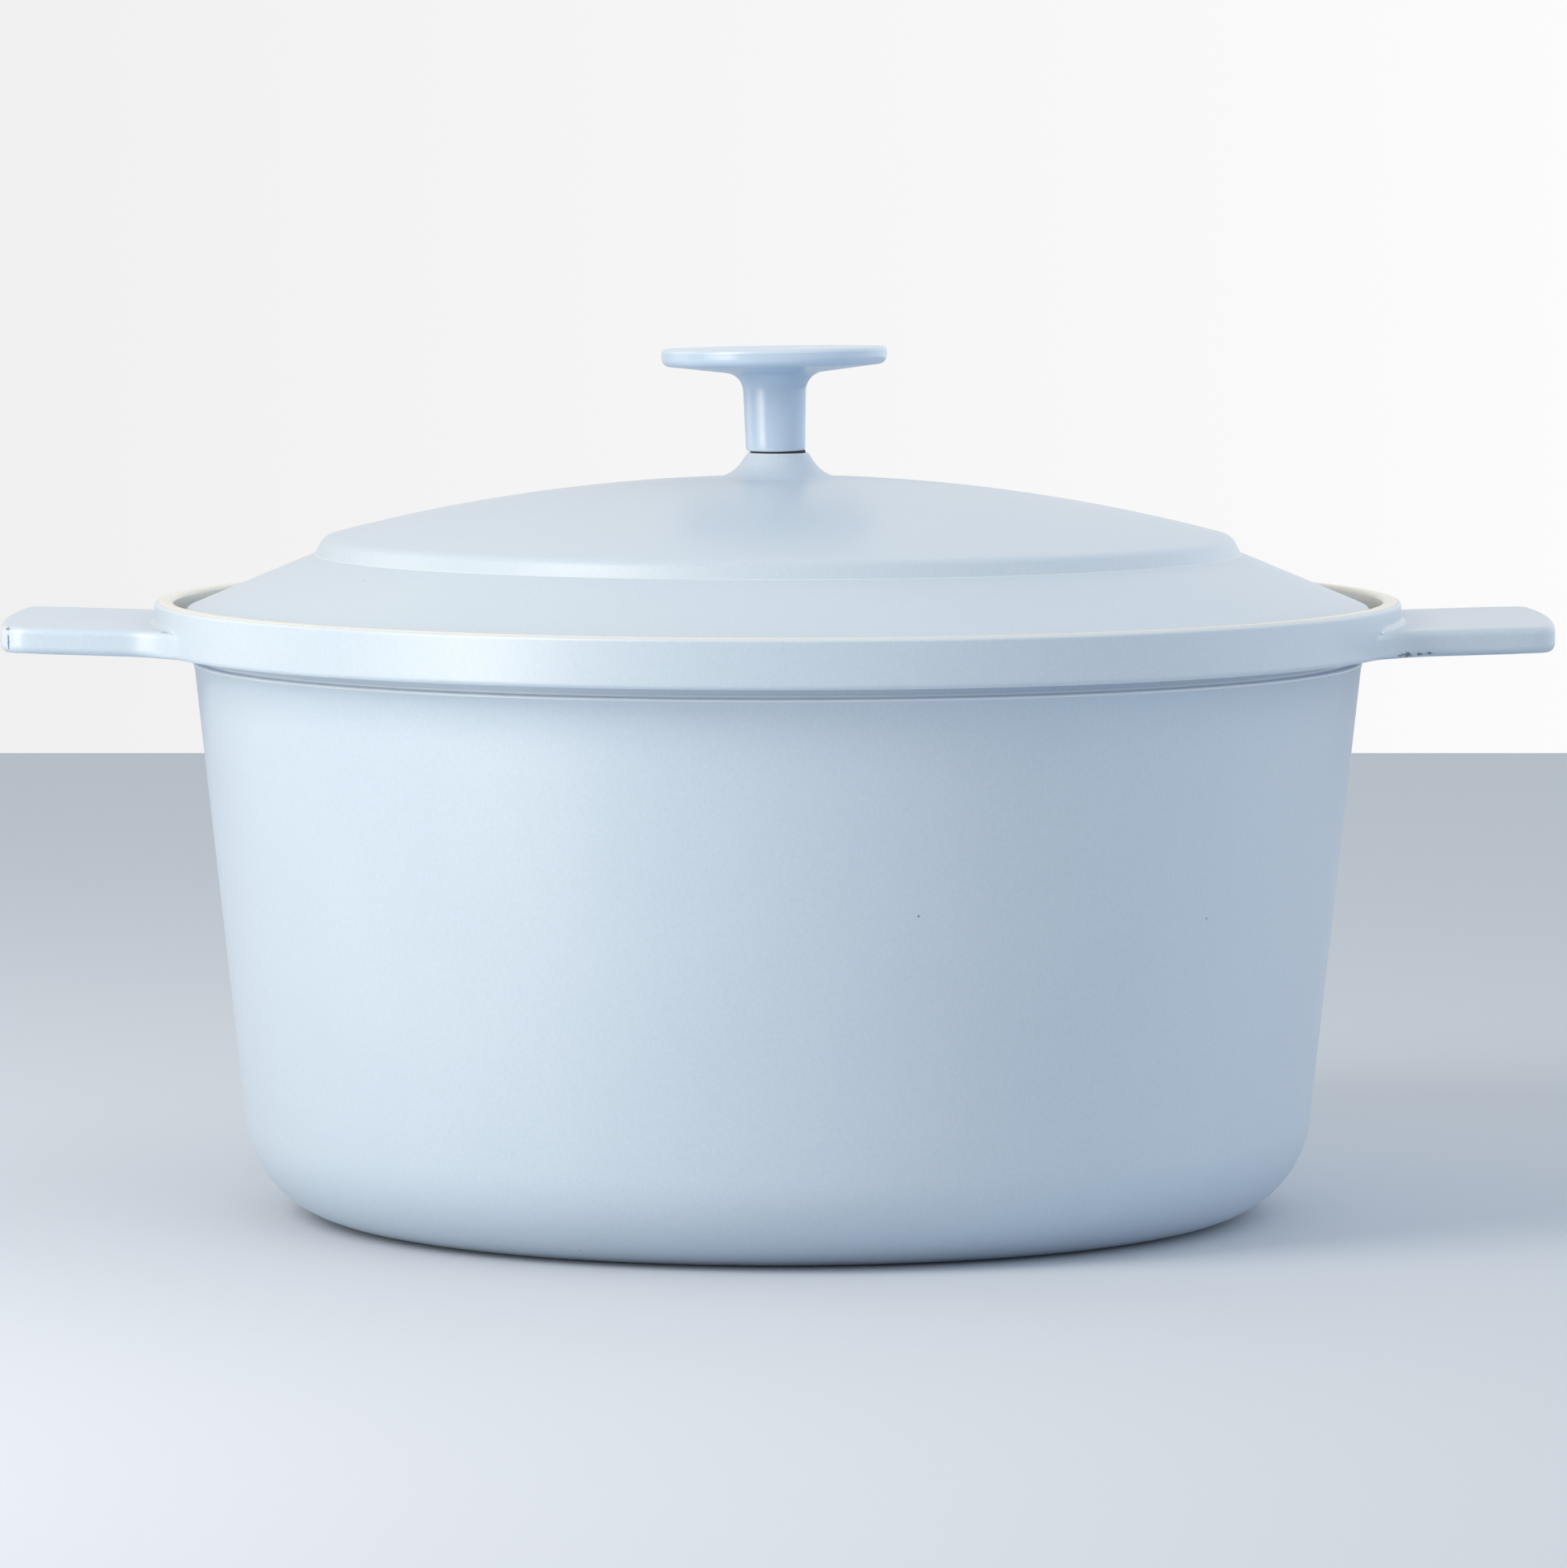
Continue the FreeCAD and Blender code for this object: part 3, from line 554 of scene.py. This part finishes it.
for centre, half in marks:
    offset = add(
        blue_enamel,
        "ShaderNodeVectorMath",
        {"operation": "SUBTRACT", 1: [c * MM for c in centre]},
        {0: (where, "Object")},
    )
    scaled = add(
        blue_enamel,
        "ShaderNodeVectorMath",
        {"operation": "DIVIDE", 1: [h * MM for h in half]},
        {0: (offset, 0)},
    )
    away = add(
        blue_enamel,
        "ShaderNodeVectorMath",
        {"operation": "LENGTH"},
        {0: (scaled, 0)},
    )
    shape = add(
        blue_enamel,
        "ShaderNodeMath",
        {"operation": "SUBTRACT"},
        {0: (away, "Value"), 1: (ragged_range, 0)},
    )
    chip = add(
        blue_enamel,
        "ShaderNodeMapRange",
        {"From Min": 0.2, "From Max": 0.6, "To Min": 0.85, "To Max": 0.0},
        {"Value": (shape, 0)},
    )
    if chips:
        chip = add(
            blue_enamel,
            "ShaderNodeMath",
            {"operation": "MAXIMUM"},
            {0: (chips, 0), 1: (chip, 0)},
        )
    chips = chip
with_chips = add(
    blue_enamel,
    "ShaderNodeMix",
    {"data_type": "RGBA", 7: linear("#4d5462")},
    {0: (chips, 0), 6: (thinned_and_highlit, 2)},
)
# The satin is a little uneven with the cloudiness.
satin = add(
    blue_enamel,
    "ShaderNodeMapRange",
    {"From Min": 0.3, "From Max": 0.7, "To Min": 0.38, "To Max": 0.46},
    {"Value": (cloud, 0)},
)
# Orange peel about 2 mm across on a cast surface that waves over about 35 mm.
peel = add(
    blue_enamel,
    "ShaderNodeTexNoise",
    {"Scale": 480.0, "Detail": 2.0},
    {"Vector": (where, "Object")},
)
peel_bump = add(
    blue_enamel,
    "ShaderNodeBump",
    {"Strength": 0.35, "Distance": 0.00003},
    {"Height": (peel, 0)},
)
wave = add(
    blue_enamel,
    "ShaderNodeTexNoise",
    {"Scale": 28.0, "Detail": 1.0},
    {"Vector": (where, "Object")},
)
wave_bump = add(
    blue_enamel,
    "ShaderNodeBump",
    {"Strength": 0.5, "Distance": 0.0004},
    {"Height": (wave, 0), "Normal": (peel_bump, 0)},
)
glaze = add(
    blue_enamel,
    "ShaderNodeBsdfPrincipled",
    {"IOR": 1.55, "Coat Weight": 0.4, "Coat Roughness": 0.28},
    {"Base Color": (with_chips, 2), "Roughness": (satin, 0), "Normal": (wave_bump, 0)},
)
add(blue_enamel, "ShaderNodeOutputMaterial", links={"Surface": (glaze, 0)})
pot.data.materials.append(blue_enamel)


# ---------------------------------------------------------------------------------------
# Lining: cream vitreous enamel, 0.4 mm thick, over the cavity, the ledge that carries
# the lid, the recess and the rim's top, where it laps over the edge and thins out on the
# blue.
# ---------------------------------------------------------------------------------------

LINING = 0.4
RIM_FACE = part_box("pot_lining")[1].z / MM
SEAT = LEDGE + LINING
LINED = CAVITY - LINING / np.cos(DRAFT_ANGLE)
LINED_FLOOR = FLOOR + LINING
LAP_EDGE = COLLAR - 0.75

lining_section = rounded(
    [
        (0, FLOOR, 0),
        (CAVITY + (FLOOR - WALL_TOP) * DRAFT, FLOOR, BASE_CORNER - WALL_THICKNESS),
        (CAVITY + (LEDGE - WALL_TOP) * DRAFT, LEDGE, 1.5),
        (RECESS, LEDGE, 1.4),
        (RECESS, RIM, 0.3),
        (RIM_EDGE, RIM, 0),
        (LAP_EDGE, BLUE_RIM - 0.05, 0),
        (LAP_EDGE, BLUE_RIM + 0.04, 0),
        (COLLAR - 1.7, RIM_FACE, 1.0),
        (RECESS - LINING, RIM_FACE, 0.9),
        (RECESS - LINING, SEAT, 1.0),
        (LINED + (SEAT - WALL_TOP) * DRAFT, SEAT, 1.9),
        (
            LINED + (LINED_FLOOR - WALL_TOP) * DRAFT,
            LINED_FLOOR,
            BASE_CORNER - WALL_THICKNESS - LINING,
        ),
        (0, LINED_FLOOR, 0),
    ]
)
turn = np.linspace(0, 2 * np.pi, 361)[:-1]
lining = surface("pot_lining_coat", turned(lining_section, turn))
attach(lining, "pot")
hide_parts("pot_lining")

# Titanium white enamel with a little yellow: a smooth gloss, faintly clouded, with a tea
# coloured stain where the coat is thin on its edges.
cream_enamel = new_material("vitreous_enamel_cream")
where = add(cream_enamel, "ShaderNodeTexCoord")
cloud = add(
    cream_enamel,
    "ShaderNodeTexNoise",
    {"Scale": 30.0, "Detail": 3.0},
    {"Vector": (where, "Object")},
)
cream = add(
    cream_enamel,
    "ShaderNodeMix",
    {"data_type": "RGBA", 6: linear("#d4d5cf"), 7: linear("#dbdbd6")},
    {0: (cloud, 0)},
)
edge = add(cream_enamel, "ShaderNodeAttribute", {"attribute_name": "edge"})
stain = add(
    cream_enamel,
    "ShaderNodeMapRange",
    {"From Min": 0.35, "From Max": 0.9, "To Min": 0.0, "To Max": 0.4},
    {"Value": (edge, "Fac")},
)
stained = add(
    cream_enamel,
    "ShaderNodeMix",
    {"data_type": "RGBA", 7: linear("#d4cab4")},
    {0: (stain, 0), 6: (cream, 2)},
)
# Scouring dulls the gloss in the cloudiness's patches, about 30 mm across.
scoured = add(
    cream_enamel,
    "ShaderNodeMapRange",
    {"From Min": 0.3, "From Max": 0.7, "To Min": 0.17, "To Max": 0.28},
    {"Value": (cloud, 0)},
)
# A ripple about 3 mm across, where the glaze flowed.
ripple = add(
    cream_enamel,
    "ShaderNodeTexNoise",
    {"Scale": 350.0, "Detail": 1.0},
    {"Vector": (where, "Object")},
)
ripple_bump = add(
    cream_enamel,
    "ShaderNodeBump",
    {"Strength": 0.25, "Distance": 0.00004},
    {"Height": (ripple, 0)},
)
glaze = add(
    cream_enamel,
    "ShaderNodeBsdfPrincipled",
    {"IOR": 1.52},
    {"Base Color": (stained, 2), "Roughness": (scoured, 0), "Normal": (ripple_bump, 0)},
)
add(cream_enamel, "ShaderNodeOutputMaterial", links={"Surface": (glaze, 0)})
lining.data.materials.append(cream_enamel)


# ---------------------------------------------------------------------------------------
# Lid: a second iron casting in the same blue enamel, with a sloping skirt, a low step and
# a dome. The boss at its crown is turned flat for the knob and drilled for the screw.
# ---------------------------------------------------------------------------------------

lid_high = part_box("lid_casting")[1]
LID = lid_high.x / MM
LID_EDGE = 130.75
SKIRT_SLOPE = np.radians(22.7)
SKIRT_WIDTH = 27.6
SKIRT = np.tan(SKIRT_SLOPE)
STEP = LID - SKIRT_WIDTH
STEP_FOOT = LID_EDGE + SKIRT_WIDTH * SKIRT
DOME = STEP - 1.9
DOME_FOOT = STEP_FOOT + 3.6
DOME_RISE = 12.8
CROWN = DOME_FOOT + DOME_RISE
SPHERE = (DOME**2 + DOME_RISE**2) / (2 * DOME_RISE)
BOSS = 6.5
BOSS_TOP = lid_high.z / MM
BOSS_HEIGHT = 5.2
BOSS_FLARE = np.radians(34)
BOSS_FOOT = BOSS + BOSS_HEIGHT * np.tan(BOSS_FLARE)
BORE = 3.3
IRON = 3.4
PAD = 9.0
PAD_FACE = CROWN - IRON - 1.0
BEAD = SEAT + LINING
BEAD_WIDTH = 4.5


def on_dome(across, inset=0.0):
    """Height of the sphere that lies an inset below the dome's outside, by Pythagoras."""
    return CROWN - SPHERE + np.sqrt((SPHERE - inset) ** 2 - np.asarray(across) ** 2)


def under_skirt(across, skin=0.0):
    """Height of the skirt's underside, or of a skin that lines it.

    It's the outside's height at that radius, less the thickness measured upright.
    """
    return LID_EDGE + (LID - across) * SKIRT - (IRON + skin) / np.cos(SKIRT_SLOPE)


def sphere_run(start, end, inset=0.0, count=14):
    """Corners along the dome's sphere at even radii between two, without the ends."""
    across = np.linspace(start, end, count + 2)[1:-1]
    return [(r, z, 0) for r, z in zip(across, on_dome(across, inset))]


inside_step, inside_foot, bead_in = DOME - IRON, STEP - IRON, LID - BEAD_WIDTH
lid_section = rounded(
    [
        (BORE, PAD_FACE, 0),
        (PAD, PAD_FACE, 0.4),
        (PAD, float(on_dome(PAD, IRON)), 0.4),
        *sphere_run(PAD + 1, inside_step - 5, IRON),
        (inside_step, float(on_dome(inside_step, IRON)), 1.5),
        (inside_foot, under_skirt(inside_foot), 1.5),
        (bead_in, under_skirt(bead_in), 1.0),
        (bead_in, BEAD, 0.3),
        (LID, BEAD, 0.3),
        (LID, LID_EDGE, 1.0),
        (STEP, STEP_FOOT, 0.7),
        (DOME, DOME_FOOT, 3.0),
        *sphere_run(DOME - 2.5, BOSS_FOOT + 5, count=22),
        (BOSS_FOOT, float(on_dome(BOSS_FOOT)), 8.0),
        (BOSS, BOSS_TOP, 0.6),
        (BORE, BOSS_TOP, 0.15),
        (BORE, PAD_FACE + 0.2, 0),
    ],
    line_step=4.0,
)
lid = surface("lid", turned(lid_section, turn), ring=True)
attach(lid, "lid")
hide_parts("lid_casting")
lid.data.materials.append(blue_enamel)


# ---------------------------------------------------------------------------------------
# Lid lining: the same cream enamel, sprayed over the whole underside of the lid and its
# seat ring, with a hole that leaves the screw's bore bare.
# ---------------------------------------------------------------------------------------

skin = IRON + LINING
dome_in = inside_step - LINING
foot_in = inside_foot - LINING
bead_in_face = bead_in - LINING
lid_lining_section = rounded(
    [
        (BORE, PAD_FACE - LINING, 0),
        (PAD + LINING, PAD_FACE - LINING, 0.6),
        (PAD + LINING, float(on_dome(PAD + LINING, skin)), 0.6),
        *sphere_run(PAD + 2, dome_in - 5, skin),
        (dome_in, float(on_dome(dome_in, skin)), 1.5),
        (foot_in, under_skirt(foot_in, LINING), 1.5),
        (bead_in_face, under_skirt(bead_in_face, LINING), 1.0),
        (bead_in_face, SEAT, 0.5),
        (LID, SEAT, 0.3),
        (LID, BEAD, 0),
        (bead_in, BEAD, 0.3),
        (bead_in, under_skirt(bead_in), 1.0),
        (inside_foot, under_skirt(inside_foot), 1.5),
        (inside_step, float(on_dome(inside_step, IRON)), 1.5),
        *sphere_run(inside_step - 5, PAD + 1, IRON),
        (PAD, float(on_dome(PAD, IRON)), 0.4),
        (PAD, PAD_FACE, 0.4),
        (BORE, PAD_FACE, 0),
    ],
    line_step=4.0,
)
lid_lining = surface("lid_lining_coat", turned(lid_lining_section, turn), ring=True)
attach(lid_lining, "lid")
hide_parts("lid_lining")
lid_lining.data.materials.append(cream_enamel)


# ---------------------------------------------------------------------------------------
# Knob: a cast disc and stem in one piece, tapped from below, in a glossier blue enamel
# than the lid. The disc's underside runs into the stem with a wide fillet.
# ---------------------------------------------------------------------------------------

knob_low, knob_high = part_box("knob")
KNOB_FOOT = knob_low.z / MM
KNOB_TOP = knob_high.z / MM
DISC = knob_high.x / MM
STEM_FOOT = 6.4
STEM_HEAD = 6.9
TAPPED = 3.0
TAPPED_TOP = KNOB_FOOT + 13
SUNK_FOOT = KNOB_FOOT - 0.15
UNDER_DISC = KNOB_FOOT + 16.3
DISC_SLOPE = np.tan(np.radians(7))
EDGE_FOOT = UNDER_DISC + (DISC - STEM_HEAD) * DISC_SLOPE
LEAN = np.radians(0.9)
OFF_AXIS = -0.5

knob_section = rounded(
    [
        (0, TAPPED_TOP, 0),
        (TAPPED, TAPPED_TOP, 0),
        (TAPPED, SUNK_FOOT, 0),
        (STEM_FOOT, SUNK_FOOT, 0.7),
        (STEM_HEAD, UNDER_DISC, 4.0),
        (DISC, EDGE_FOOT, 1.9),
        (DISC, KNOB_TOP, 0.9),
        (0, KNOB_TOP, 0),
    ],
    line_step=1.5,
)
fine_turn = np.linspace(0, 2 * np.pi, 193)[:-1]


def leaning(grid, foot, left, back, shift):
    """The grid leaned a little to the left and back, from nothing at foot, and shifted.

    Each lean adds the height over the foot times the angle's sine to the place, and takes
    the place times that sine from the height. It comes in over the first 5 mm.
    """
    ease = eased(grid[..., 2], foot, foot + 5)
    x, y, up = grid[..., 0], grid[..., 1], grid[..., 2] - foot
    x, up = x - up * np.sin(left * ease), up + x * np.sin(left * ease)
    y, up = y + up * np.sin(back * ease), up - y * np.sin(back * ease)
    return np.stack([x + shift, y, foot + up], axis=2)


knob = surface(
    "knob_piece",
    leaning(turned(knob_section, fine_turn), KNOB_FOOT, LEAN, LEAN, OFF_AXIS),
)
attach(knob, "lid")
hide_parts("knob")

# A bright glaze on a small casting: the same frit fired thicker, so it's glossier and
# deeper in colour, with clouds of about 8 mm. Its edges are paler: a painted highlight,
# with some real thinning of the glaze over them.
knob_enamel = new_material("vitreous_enamel_gloss_blue")
where = add(knob_enamel, "ShaderNodeTexCoord")
cloud = add(
    knob_enamel,
    "ShaderNodeTexNoise",
    {"Scale": 120.0, "Detail": 2.0},
    {"Vector": (where, "Object")},
)
tint = add(
    knob_enamel,
    "ShaderNodeMix",
    {"data_type": "RGBA", 6: linear("#aec5de"), 7: linear("#b7cde4")},
    {0: (cloud, 0)},
)
# Painted highlight: edges and rounds are paler the sharper they bend, as along the disc's
# rim.
edge = add(knob_enamel, "ShaderNodeAttribute", {"attribute_name": "edge"})
thin_glaze_and_highlight = add(
    knob_enamel,
    "ShaderNodeMapRange",
    {"From Min": 0.15, "From Max": 0.6, "To Min": 0.0, "To Max": 0.6},
    {"Value": (edge, "Fac")},
)
thinned_and_highlit = add(
    knob_enamel,
    "ShaderNodeMix",
    {"data_type": "RGBA", 7: linear("#cfdeec")},
    {0: (thin_glaze_and_highlight, 0), 6: (tint, 2)},
)
# Fingers leave it a little greasy: smears about 12 mm across.
smears = add(
    knob_enamel,
    "ShaderNodeTexNoise",
    {"Scale": 85.0, "Detail": 3.0},
    {"Vector": (where, "Object")},
)
smeared = add(
    knob_enamel,
    "ShaderNodeMapRange",
    {"From Min": 0.3, "From Max": 0.7, "To Min": 0.16, "To Max": 0.25},
    {"Value": (smears, 0)},
)
# A faint orange peel, about 2 mm across.
peel = add(
    knob_enamel,
    "ShaderNodeTexNoise",
    {"Scale": 500.0, "Detail": 1.0},
    {"Vector": (where, "Object")},
)
peel_bump = add(
    knob_enamel,
    "ShaderNodeBump",
    {"Strength": 0.1, "Distance": 0.00002},
    {"Height": (peel, 0)},
)
glaze = add(
    knob_enamel,
    "ShaderNodeBsdfPrincipled",
    {"IOR": 1.52},
    {"Base Color": (thinned_and_highlit, 2), "Roughness": (smeared, 0), "Normal": (peel_bump, 0)},
)
add(knob_enamel, "ShaderNodeOutputMaterial", links={"Surface": (glaze, 0)})
knob.data.materials.append(knob_enamel)


# ---------------------------------------------------------------------------------------
# Gasket: a thin ring cut from black nitrile sheet, in the seam between boss and stem. It
# keeps the two glazed faces from chipping each other and water out of the screw's hole.
# Its near black also paints the dark line of shade in that seam.
# ---------------------------------------------------------------------------------------

gasket_low, gasket_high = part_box("knob_gasket")


def ring_section(inside, outside, foot, top, rounding):
    """Closed section of a flat ring with all four edges rounded.

    It starts at the middle of the bore and ends just above it.
    """
    middle = (foot + top) / 2
    return rounded(
        [
            (inside, middle, 0),
            (inside, foot, rounding),
            (outside, foot, rounding),
            (outside, top, rounding),
            (inside, top, rounding),
            (inside, middle + (top - foot) * 0.05, 0),
        ],
        line_step=1.5,
        arc_step=22.5,
    )


gasket_section = ring_section(
    BORE, gasket_high.x / MM, gasket_low.z / MM, gasket_high.z / MM, 0.12
)
gasket = surface("gasket_ring", turned(gasket_section, fine_turn), ring=True)
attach(gasket, "lid")
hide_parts("knob_gasket")

# Nitrile rubber sheet: nearly black, dull, with the 0.25 mm tooth of calendered sheet.
# The near black is also painted shade in the seam.
nitrile = new_material("nitrile_rubber_black_seam_shade")
where = add(nitrile, "ShaderNodeTexCoord")
tooth = add(
    nitrile, "ShaderNodeTexNoise", {"Scale": 4000.0}, {"Vector": (where, "Object")}
)
tooth_bump = add(
    nitrile,
    "ShaderNodeBump",
    {"Strength": 0.4, "Distance": 0.00003},
    {"Height": (tooth, 0)},
)
# A grey bloom comes and goes over about 5 mm.
bloom = add(
    nitrile, "ShaderNodeTexNoise", {"Scale": 200.0}, {"Vector": (where, "Object")}
)
black_and_seam_shade = add(
    nitrile,
    "ShaderNodeMix",
    {"data_type": "RGBA", 6: linear("#1f2228"), 7: linear("#2a2d33")},
    {0: (bloom, 0)},
)
rubber = add(
    nitrile,
    "ShaderNodeBsdfPrincipled",
    {"Roughness": 0.8, "IOR": 1.5},
    {"Base Color": (black_and_seam_shade, 2), "Normal": (tooth_bump, 0)},
)
add(nitrile, "ShaderNodeOutputMaterial", links={"Surface": (rubber, 0)})
gasket.data.materials.append(nitrile)


# ---------------------------------------------------------------------------------------
# Seal washer: a soft silicone disc under the lid, between the glaze and the steel. The
# clamped screw makes its edge bulge a little.
# ---------------------------------------------------------------------------------------

WASHER_HOLE = 3.15
seal_low, seal_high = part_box("seal_washer")
seal_section = ring_section(
    WASHER_HOLE, seal_high.x / MM, seal_low.z / MM, seal_high.z / MM, 0.45
)
seal = surface("seal_ring", turned(seal_section, fine_turn), ring=True)
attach(seal, "lid")
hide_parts("seal_washer")

# Moulded food grade silicone: milky grey, clouded over 3 mm, with a soft sheen and light
# that sinks in a little.
silicone = new_material("silicone_rubber_translucent")
where = add(silicone, "ShaderNodeTexCoord")
cloud = add(
    silicone, "ShaderNodeTexNoise", {"Scale": 300.0}, {"Vector": (where, "Object")}
)
milk = add(
    silicone,
    "ShaderNodeMix",
    {"data_type": "RGBA", 6: linear("#c3c3be"), 7: linear("#cfcfca")},
    {0: (cloud, 0)},
)
soft = add(
    silicone,
    "ShaderNodeBsdfPrincipled",
    {"Roughness": 0.5, "IOR": 1.41, "Subsurface Weight": 0.2, "Subsurface Scale": 0.001},
    {"Base Color": (milk, 2)},
)
add(silicone, "ShaderNodeOutputMaterial", links={"Surface": (soft, 0)})
seal.data.materials.append(silicone)


# ---------------------------------------------------------------------------------------
# Flat washer, split lock washer and M6 pan head screw: stainless steel. The washers are
# stamped, and the screw is cold headed with a cross recess and threaded into the knob.
# ---------------------------------------------------------------------------------------

flat_low, flat_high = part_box("flat_washer")
flat_section = ring_section(
    WASHER_HOLE, flat_high.x / MM, flat_low.z / MM, flat_high.z / MM, 0.2
)
flat = surface("flat_ring", turned(flat_section, fine_turn), ring=True)
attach(flat, "lid")
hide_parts("flat_washer")

# Stainless steel, stamped or headed and tumbled: even grey with random scratches, too
# fine to show, so they are drawn 1 mm long.
steel = new_material("stainless_steel_tumbled")
where = add(steel, "ShaderNodeTexCoord")
scratch = add(
    steel,
    "ShaderNodeTexNoise",
    {"Scale": 900.0, "Detail": 4.0},
    {"Vector": (where, "Object")},
)
dull = add(
    steel,
    "ShaderNodeMapRange",
    {"From Min": 0.3, "From Max": 0.7, "To Min": 0.25, "To Max": 0.45},
    {"Value": (scratch, 0)},
)
# Rubbed bright and handled dull in patches of about 3 mm.
patches = add(
    steel, "ShaderNodeTexNoise", {"Scale": 300.0}, {"Vector": (where, "Object")}
)
grey = add(
    steel,
    "ShaderNodeMix",
    {"data_type": "RGBA", 6: linear("#bcbcb9"), 7: linear("#cbcbca")},
    {0: (patches, 0)},
)
scratch_bump = add(
    steel,
    "ShaderNodeBump",
    {"Strength": 0.2, "Distance": 0.00002},
    {"Height": (scratch, 0)},
)
metal = add(
    steel,
    "ShaderNodeBsdfPrincipled",
    {"Metallic": 1.0},
    {"Base Color": (grey, 2), "Roughness": (dull, 0), "Normal": (scratch_bump, 0)},
)
add(steel, "ShaderNodeOutputMaterial", links={"Surface": (metal, 0)})
flat.data.materials.append(steel)

# The split lock washer and the screw keep their CAD shapes.
for name in ("spring_washer", "knob_screw"):
    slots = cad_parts[name].data.materials
    for i in range(len(slots)):
        slots[i] = steel


# ---------------------------------------------------------------------------------------
# Studio: a plain pale table top against a white surround that is brightest on the right.
# Four small soft boxes, a little warm, stand close by on the left: the main one, one
# high, a weak one behind and a small one near the table.
# ---------------------------------------------------------------------------------------

TABLE = 1.286

floor_mesh = bpy.data.meshes.new("floor")
floor_mesh.from_pydata(
    [(-TABLE, -TABLE, 0), (TABLE, -TABLE, 0), (TABLE, TABLE, 0), (-TABLE, TABLE, 0)],
    [],
    [(0, 1, 2, 3)],
)
floor = bpy.data.objects.new("floor", floor_mesh)
bpy.context.scene.collection.objects.link(floor)

paper = new_material("background_paper_pale")
matt = add(
    paper,
    "ShaderNodeBsdfPrincipled",
    {"Base Color": linear("#c6d0dc"), "Roughness": 0.9, "Specular IOR Level": 0.2},
)
add(paper, "ShaderNodeOutputMaterial", links={"Surface": (matt, 0)})
floor_mesh.materials.append(paper)


def soft_light(name, place, size, power, colour="#ffffff"):
    """A rectangular area light at place, turned to face the pot, in metres and watts.

    The line from the pot's middle to the light gives the two angles: how far it's tilted
    from upright, and which way it leans.
    """
    middle = [0, 0, 0.08]
    lamp = bpy.data.lights.new(name, "AREA")
    lamp.shape, lamp.size, lamp.size_y = "RECTANGLE", size[0], size[1]
    lamp.energy, lamp.color = power, linear(colour)[:3]
    made = bpy.data.objects.new(name, lamp)
    away = np.array(place) - middle
    made.location = place
    made.rotation_euler = (
        np.arctan2(np.hypot(away[0], away[1]), away[2]),
        0,
        np.arctan2(away[0], -away[1]),
    )
    bpy.context.scene.collection.objects.link(made)


soft_light("key", (-0.82, -0.5, 0.33), (0.5, 0.6), 3.3, "#fff2e0")
soft_light("high_key", (-0.55, -0.45, 0.6), (0.4, 0.4), 3.5, "#fff3e4")
soft_light("side_key", (-0.7, 0.3, 0.3), (0.4, 0.6), 0.7, "#fff2e0")
soft_light("low_key", (-0.62, -0.55, 0.12), (0.3, 0.18), 0.75, "#fff2e0")

world = bpy.data.worlds.new("studio")
world.use_nodes = True
world.node_tree.nodes.clear()
facing = add(world, "ShaderNodeTexCoord")
toward = add(
    world,
    "ShaderNodeVectorMath",
    {"operation": "DOT_PRODUCT", 1: (0.58, 0.17, 0.0)},
    {0: (facing, "Generated")},
)
strength = add(
    world, "ShaderNodeMath", {"operation": "ADD", 1: 0.75}, {0: (toward, "Value")}
)
background = add(
    world,
    "ShaderNodeBackground",
    {"Color": (1.0, 1.0, 1.0, 1.0)},
    {"Strength": (strength, 0)},
)
add(world, "ShaderNodeOutputWorld", links={"Surface": (background, 0)})
bpy.context.scene.world = world
bpy.context.scene.view_settings.view_transform = "Standard"

# The camera stands 2 m in front and looks a little down.
LOOKING_DOWN = 4.59
camera_data = bpy.data.cameras.new("camera")
camera_data.lens = 218.5
camera_data.sensor_width = 36.0
camera_data.clip_end = 60.0
camera = bpy.data.objects.new("camera", camera_data)
camera.location = (0.0012, -2.0458, 0.2566)
camera.rotation_euler = (np.radians(90 - LOOKING_DOWN), 0, 0)
bpy.context.scene.collection.objects.link(camera)
bpy.context.scene.camera = camera
